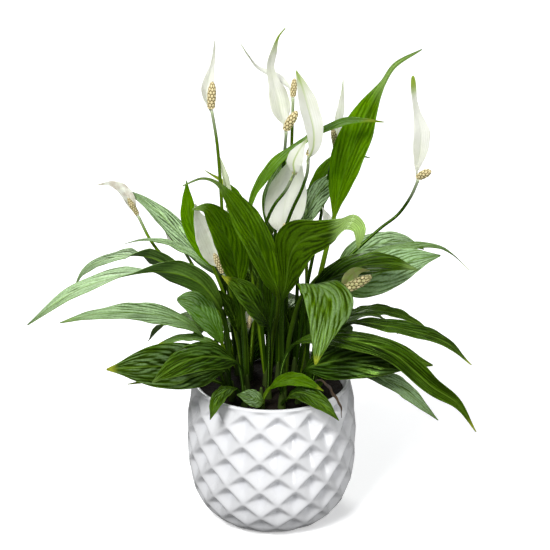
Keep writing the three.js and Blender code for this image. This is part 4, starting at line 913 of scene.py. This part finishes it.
# Side veins lie in the valleys of the pleats, with finer ones between them.
sweep = leaf.mark("lines")
near_vein = sweep.reckon("PINGPONG", sweep, 0.5) * 2
vein = (1 - leaf.step(near_vein, 0.0, 0.3)) * leafy * leaf.step(leaf.noise(70.0, 2.0), 0.35, 0.65)
near_fine = sweep.reckon("PINGPONG", sweep * 4, 0.5) * 2
fine_vein = (1 - leaf.step(near_fine, 0.0, 0.5)) * leafy
# Little panes between the finer veins.
pane_place = leaf.node("ShaderNodeCombineXYZ", None, {"X": sweep * 4, "Y": along * 60, "Z": across * 9})
panes = leaf.noise(1.0, 2.0, pane_place)
rib_line = (1 - leaf.step(off, 0.35, 1.15)) * leafy
margin = (1 - leaf.step(edge, 0.15, 0.75)) * leafy
# Lengthwise streaks give the dark and the light green at random. The pleats add painted light on their
# crests, and the painted sheen comes and goes with both.
streak_place = leaf.node(
    "ShaderNodeCombineXYZ", None, {"X": along * 4, "Y": signed_across * 9, "Z": leaf.mark("drawn") * 9}
)
streaks = leaf.noise(1.0, 4.0, streak_place)
pleat = leaf.step(near_vein, 0.05, 0.8)
lightness = streaks * 0.6 + patches * 0.4 + pleat * 0.14
tone = leaf.blend(leaf.step(lightness, 0.5, 0.66), LEAF_DEEP, LEAF_GREEN)
# Painted light: leaves that light shines through get a lit yellow-green in patches, on top of the real light
# let through below.
tone = leaf.blend(glow * leaf.step(patches + glow * 0.25, 0.15, 0.8, 0.45, 1.0), tone, LEAF_LIT)
# Painted light: every blade is painted lighter towards its tip, out of the shade inside the plant, and more
# so where light comes through.
tone = leaf.blend(leaf.step(along + patches * 0.3, 0.6, 1.3) * (0.25 + glow * 0.3), tone, LEAF_LIT)
# Painted sheen on the upper side. It follows the streaks and the pleat crests, grows from the base of the
# blade towards its tip, and mostly leaves the underside.
sheen = leaf.step(streaks + pleat * 0.15 + silver_sheen * 0.35, 0.6, 0.83)
sheen = sheen * leaf.step(along, 0.05, 0.5, 0.3, 1.0) * silver_sheen * (1 - back * 0.85)
tone = leaf.blend(sheen * leafy * (1 - vein * 0.6), tone, LEAF_PAINTED_SHEEN)
# Painted shade in the side veins, down in the valleys of the pleats.
tone = leaf.blend(vein * 0.3, tone, LEAF_DEEP)
# Painted darker where lightness is low: at random, and as painted shade in the valleys of the pleats.
tone = leaf.blend((1 - leaf.step(lightness, 0.47, 0.6)) * 0.7, tone, LEAF_DEEP)
tone = leaf.blend(leaf.step(specks, 0.45, 0.6) * 0.25, tone, LEAF_DEEP)
tone = leaf.blend(rib_line * leaf.step(back, 0.0, 1.0, 0.5, 0.9), tone, LEAF_RIB)
# Painted highlight along the blade's edge, in the rib's colour.
tone = leaf.blend(margin * 0.5, tone, LEAF_RIB)
turned = leaf.step(along + ripe + specks * 0.04, 0.98, 1.06) * leaf.step(ripe, 0.0, 0.03)
tone = leaf.blend(turned, tone, LEAF_RIPE)
faded = leaf.mark("faded")
faint = leaf.step(along + faded, 0.95, 1.1) * leaf.step(faded, 0.0, 0.1)
tone = leaf.blend(faint * leaf.step(streaks + pleat * 0.3, 0.4, 0.85, 0.45, 0.9), tone, LEAF_FADED)
stem_tone = leaf.blend(leaf.step(leaf.noise(40.0, 2.0), 0.3, 0.7), STEM_SHADED_GREEN, STEM_SHADED_PALE)
# Painted light on the stalks and petioles that catch it, driven by their glow or lit value.
stem_tone = leaf.blend(glow * glow * glow * 0.45, stem_tone, STEM_LIT)
stem_tone = leaf.blend(leaf.mark("pale"), stem_tone, STEM_WHITE)
sheathed = leaf.mark("sheath") * leaf.step(patches + along * 0.3, 0.3, 0.8)
stem_tone = leaf.blend(sheathed, stem_tone, SHEATH_PALE)
stem_tone = leaf.blend(leaf.mark("stalk") * 0.6, stem_tone, LEAF_GREEN)
tone = leaf.blend(leafy, stem_tone, tone)
swelling = leaf.step(near_vein, 0.0, 1.0) * leaf.step(patches, 0.3, 0.7, 0.35, 1.0)
swelling = swelling - fine_vein * 0.1 + panes * 0.2
relief = leaf.bump(swelling * leafy, 0.0005, 1.0)
relief = leaf.bump(specks, 0.00006, 0.5, relief)
gloss = leaf.step(patches, 0.25, 0.75, 0.2, 0.32) + vein * 0.08 + back * 0.2
leaf_skin = leaf.skin(tone, gloss, relief, IOR=1.38, Specular_Tint=LEAF_TINGE)
through = leafy * (0.04 + glow * 0.44) * (1 - faint * 0.5)
leaf_material = leaf.done(leaf.thin(leaf_skin, through, LEAF_THROUGH))

blade_count = sum(len(shoot["leaves"]) for shoot in SHOOTS.values())
bloom_count = sum(len(shoot["blooms"]) for shoot in SHOOTS.values())
phases = [value * 2 * np.pi for value in draws(RIPPLE_SEED, SOIL_DRAWS + blade_count + bloom_count)]
leaf_phases = iter(phases[SOIL_DRAWS:])


def sheath_grid(foot, radius, taper, around):
    """The sheath that a shoot stands on, from its hole in the soil up."""
    line = [foot + [HOLE_BOTTOM], foot + [SHEATH_TOP]]
    return stem_grid(line, [radius * share for share in taper], around)


for shoot_name, shoot in SHOOTS.items():
    if shoot_name == "withered":
        # It is made in the last section, and its number is drawn in its turn.
        withered_phase = next(leaf_phases)
        continue
    root = shoot["foot"] + [ROOT_HEIGHT]
    grids = [sheath_grid(shoot["foot"], FOOT_RADIUS, SHEATH_TAPER, 24)]
    grids[0]["marks"].update(SHEATH_LOOKS)
    for shape in shoot["leaves"].values():
        rooted = {**shape, "stem": [root] + shape["stem"], "pleat": PLEAT_HEIGHT}
        grid = blade_grid(rooted, LEAF_OUTLINE, PETIOLE_RADIUS * shape["stout"], next(leaf_phases))
        grid["marks"].update(zip(LEAF_LOOKS, shape["looks"]))
        grids.append(grid)
    for bloom in shoot["blooms"].values():
        grid = stem_grid([root] + bloom["stalk"], [STALK_RADIUS, STALK_TOP_RADIUS], 12)
        pale = np.clip((grid["marks"]["along"] - PALE_FROM) / (1 - PALE_FROM), 0, 1) * STALK_SHARE
        stalk = STALK_SHARE * (1 - bloom["lit"] * 0.5)
        grid["marks"].update(glow=bloom["lit"], stalk=stalk, pale=pale)
        grids.append(grid)
    put_piece(f"shoot_{shoot_name}_leaves", grids, leaf_material, "leaf", f"shoot_{shoot_name}")


# ---- Spathes ----
# The white hood of each bloom is one thin leaf that clasps the flower stalk from behind. It is
# matt and lets light through, with fine lengthwise ribs, and green along its back and at its tip.
# Half width along the hood as a share of the widest, from the claw to its tip.
SPATHE_OUTLINE = [
    [0, 0.12], [0.09, 0.62], [0.25, 0.97], [0.45, 0.96], [0.65, 0.64], [0.84, 0.25], [1, 0.05],
]
SPATHE_HALF_THICKNESS = 0.18
SPATHE_FRILL = 0.3
# The middle of a hood is rounded over this share of its half width.
SPATHE_ROUNDNESS = 0.35
CLAW_RADIUS = 1.1
# How far below the stalk's end, and how far behind its middle, the claw starts and leaves it.
CLAW_LINE = [(5.0, 0.15), (1.5, 1.2)]
SPATHE_WHITE = (0.97, 0.975, 0.92, 1)
SPATHE_CREAM = (0.86, 0.88, 0.76, 1)
SPATHE_GREEN = (0.34, 0.5, 0.03, 1)
SPATHE_BROWN = (0.42, 0.3, 0.2, 1)
SPATHE_THROUGH = (0.95, 0.97, 0.86, 1)
SPATHE_LOOKS = ("tip_green", "all_green", "browned")


def stalk_top(bloom):
    """The end of the flower stalk, its direction there, and the way back from the spike."""
    spots = glide(bloom["stalk"], [0.998, 1.0])[0]
    along = spots[1] - spots[0]
    along /= np.linalg.norm(along)
    back = -np.asarray(bloom["hood"]["face"], float)
    back -= along * back.dot(along)
    return spots[1], along, back / np.linalg.norm(back)


hood = Finish("spathe_white")
along = hood.mark("along")
across = hood.mark("across")
ribs = across.reckon("SINE", across * 30 + hood.noise(30.0, 2.0) * 3)
clouds = hood.noise(60.0, 3.0)
tone = hood.blend(hood.step(clouds, 0.3, 0.75), SPATHE_WHITE, SPATHE_CREAM)
back_rib = (1 - hood.step(hood.mark("off"), 0.2, 1.6)) * (0.15 + hood.mark("back") * 0.55)
tip_green = hood.step(along + clouds * 0.1, 0.72, 1.02) * hood.mark("tip_green")
green = hood.mark("all_green") + tip_green + back_rib * hood.step(along, 0.0, 0.9, 1.0, 0.4)
tone = hood.blend(hood.step(green, 0.0, 1.15), tone, SPATHE_GREEN)
blotches = hood.step(hood.noise(170.0, 4.0) + hood.mark("browned") * 0.35, 0.55, 0.8) * hood.mark("browned")
tone = hood.blend(blotches, tone, SPATHE_BROWN)
relief = hood.bump(ribs * 0.5 + clouds, 0.0003, 0.5)
hood_skin = hood.skin(tone, hood.step(clouds, 0.2, 0.8, 0.38, 0.55), relief, IOR=1.42)
hood_material = hood.done(hood.thin(hood_skin, 0.3 - green * 0.1, SPATHE_THROUGH))

bloom_phases = iter(phases[SOIL_DRAWS + blade_count :])
BLOOMS = {name: bloom for shoot in SHOOTS.values() for name, bloom in shoot["blooms"].items()}
for bloom_name, bloom in BLOOMS.items():
    top, along_stalk, back_way = stalk_top(bloom)
    claw = [(top - along_stalk * below + back_way * behind).tolist() for below, behind in CLAW_LINE]
    shape = {**bloom["hood"], "frill": SPATHE_FRILL, "stem": claw}
    roundness = shape["wide"] * SPATHE_ROUNDNESS
    phase = next(bloom_phases)
    grid = blade_grid(shape, SPATHE_OUTLINE, CLAW_RADIUS, phase, roundness, SPATHE_HALF_THICKNESS)
    grid["marks"].update(zip(SPATHE_LOOKS, bloom["looks"]))
    put_piece(f"hood_{bloom_name}", [grid], hood_material, "spathe", f"spathe_{bloom_name}")


# ---- Spadices ----
# The spike in front of each hood: a short stem, then hundreds of tiny florets set close in rows
# that step round, each a blunt knob with painted shade in the gap about it.
SPIKE_STEM = 3.35
SPIKE_SUNK = 0.8
SPIKE_STEM_RADIUS = 1.2
# Shares of the spike's line at which its bare stem ends and its rows of florets begin.
BARE_UNTIL = 0.14
ROWS_FROM = 0.16
FLORETS_AROUND = 7
FLORET_DEPTH = 0.3
# Half a floret's width and height in steps of their lattice, and a row's height for its width.
FLORET_WIDE = 0.56
FLORET_TALL = 0.66
ROW_STEP = 0.87
SPIKE_STEPS = 84
SPIKE_AROUND = 72
FLORET_CREAM = (0.85, 0.74, 0.42, 1)
FLORET_TAN = (0.42, 0.28, 0.06, 1)
FLORET_GAP_SHADE = (0.02, 0.011, 0.002, 1)
FLORET_GREEN = (0.2, 0.24, 0.05, 1)


def spike_grid(bloom):
    """A spike along its line. Each floret is a dome on a staggered lattice, whose height falls
    with the square of the distance from its middle."""
    top, along, _ = stalk_top(bloom)
    foot = top - along * SPIKE_SUNK
    neck = top + along * SPIKE_STEM
    at = np.linspace(0, 1, SPIKE_STEPS)
    spots = glide([foot, neck, bloom["spike"]], at)[0]
    length = np.linalg.norm(np.diff(spots, axis=0), axis=1).sum()
    along, side, up = ways(spots, bloom["hood"]["face"], SPIKE_STEPS // 2)
    radius = bloom["radius"]
    s = np.clip((at - ROWS_FROM) / (1 - ROWS_FROM), 0, 1)[:, None]
    belly = (0.84 + 0.16 * np.sin(np.pi * s)) * np.sqrt(1 - 0.93 * s**5)
    body = np.where(at[:, None] < BARE_UNTIL, SPIKE_STEM_RADIUS, radius * belly)
    rows = round(length * (1 - ROWS_FROM) / (2 * np.pi * radius / FLORETS_AROUND * ROW_STEP))
    turn = np.pi * (1 - (2 * np.arange(SPIKE_AROUND) + 1) / SPIKE_AROUND)[None, :]
    row = s * rows
    domes = np.zeros((SPIKE_STEPS, SPIKE_AROUND))
    for nearby in (-1, 0, 1, 2):
        centre = np.floor(row) + nearby
        step = turn * FLORETS_AROUND / (2 * np.pi) + 0.5 * (centre % 2)
        square = ((step - np.round(step)) / FLORET_WIDE) ** 2 + ((row - centre) / FLORET_TALL) ** 2
        domes = np.maximum(domes, np.sqrt(np.maximum(1 - square, 0)))
    knobbly = (at[:, None] > BARE_UNTIL) * 1.0
    reach = body * (1 - FLORET_DEPTH * (1 - domes) * knobbly)
    points = spots[:, None] + reach[..., None] * (
        side[:, None] * np.cos(turn)[..., None] + up[:, None] * np.sin(turn)[..., None]
    )
    return {"points": points, "marks": {"dome": domes, "knobbly": knobbly, "age": bloom["age"]}}


spike = Finish("floret_cream")
dome = spike.mark("dome")
grain = spike.noise(700.0, 3.0)
tone = spike.blend(spike.step(dome + grain * 0.3, 0.55, 1.1), FLORET_TAN, FLORET_CREAM)
tone = spike.blend(spike.mark("age") * spike.step(spike.noise(240.0, 2.0), 0.35, 0.6), tone, FLORET_GREEN)
# Painted shade in the gaps between the florets.
tone = spike.blend(1 - spike.step(dome + grain * 0.2, 0.5, 0.85), tone, FLORET_GAP_SHADE)
tone = spike.blend(spike.mark("knobbly"), STEM_WHITE, tone)
relief = spike.bump(grain, 0.0003, 0.5)
spike_material = spike.done(spike.skin(tone, spike.step(grain, 0.3, 0.7, 0.6, 0.85), relief))
for bloom_name, bloom in BLOOMS.items():
    if bloom["spike"]:
        grid = spike_grid(bloom)
        put_piece(f"spike_{bloom_name}", [grid], spike_material, "spadix", f"spadix_{bloom_name}")


# ---- Withered strip ----
# One old leaf has dried to a brown papery strip. It has curled along its middle and hangs over
# the lip on the right, still held by its own small sheath.
DRY_BROWN = (0.015, 0.009, 0.005, 1)
DRY_TAN = (0.07, 0.042, 0.02, 1)
WITHERED_FOOT_RADIUS = 1.8
WITHERED_STEM_RADIUS = 1.1
WITHERED_TAPER = [1, 1, 0.9, 0.6]
WITHERED_FRILL = 0.8
WITHERED_ROUNDNESS = 0.5

dry = Finish("dry_leaf")
streaks = dry.noise(160.0, 4.0)
tone = dry.blend(dry.step(streaks, 0.3, 0.7), DRY_BROWN, DRY_TAN)
relief = dry.bump(streaks, 0.0008, 0.8)
dry_material = dry.done(dry.skin(tone, dry.step(streaks, 0.2, 0.8, 0.7, 0.95), relief))
withered = SHOOTS["withered"]
shape = {**withered["leaves"]["strip"], "frill": WITHERED_FRILL}
shape["stem"] = [withered["foot"] + [ROOT_HEIGHT]] + shape["stem"]
strip = blade_grid(shape, LEAF_OUTLINE, WITHERED_STEM_RADIUS, withered_phase, WITHERED_ROUNDNESS)
strip_sheath = sheath_grid(withered["foot"], WITHERED_FOOT_RADIUS, WITHERED_TAPER, 16)
put_piece("withered_strip", [strip_sheath, strip], dry_material, "withered_leaf", "shoot_withered")
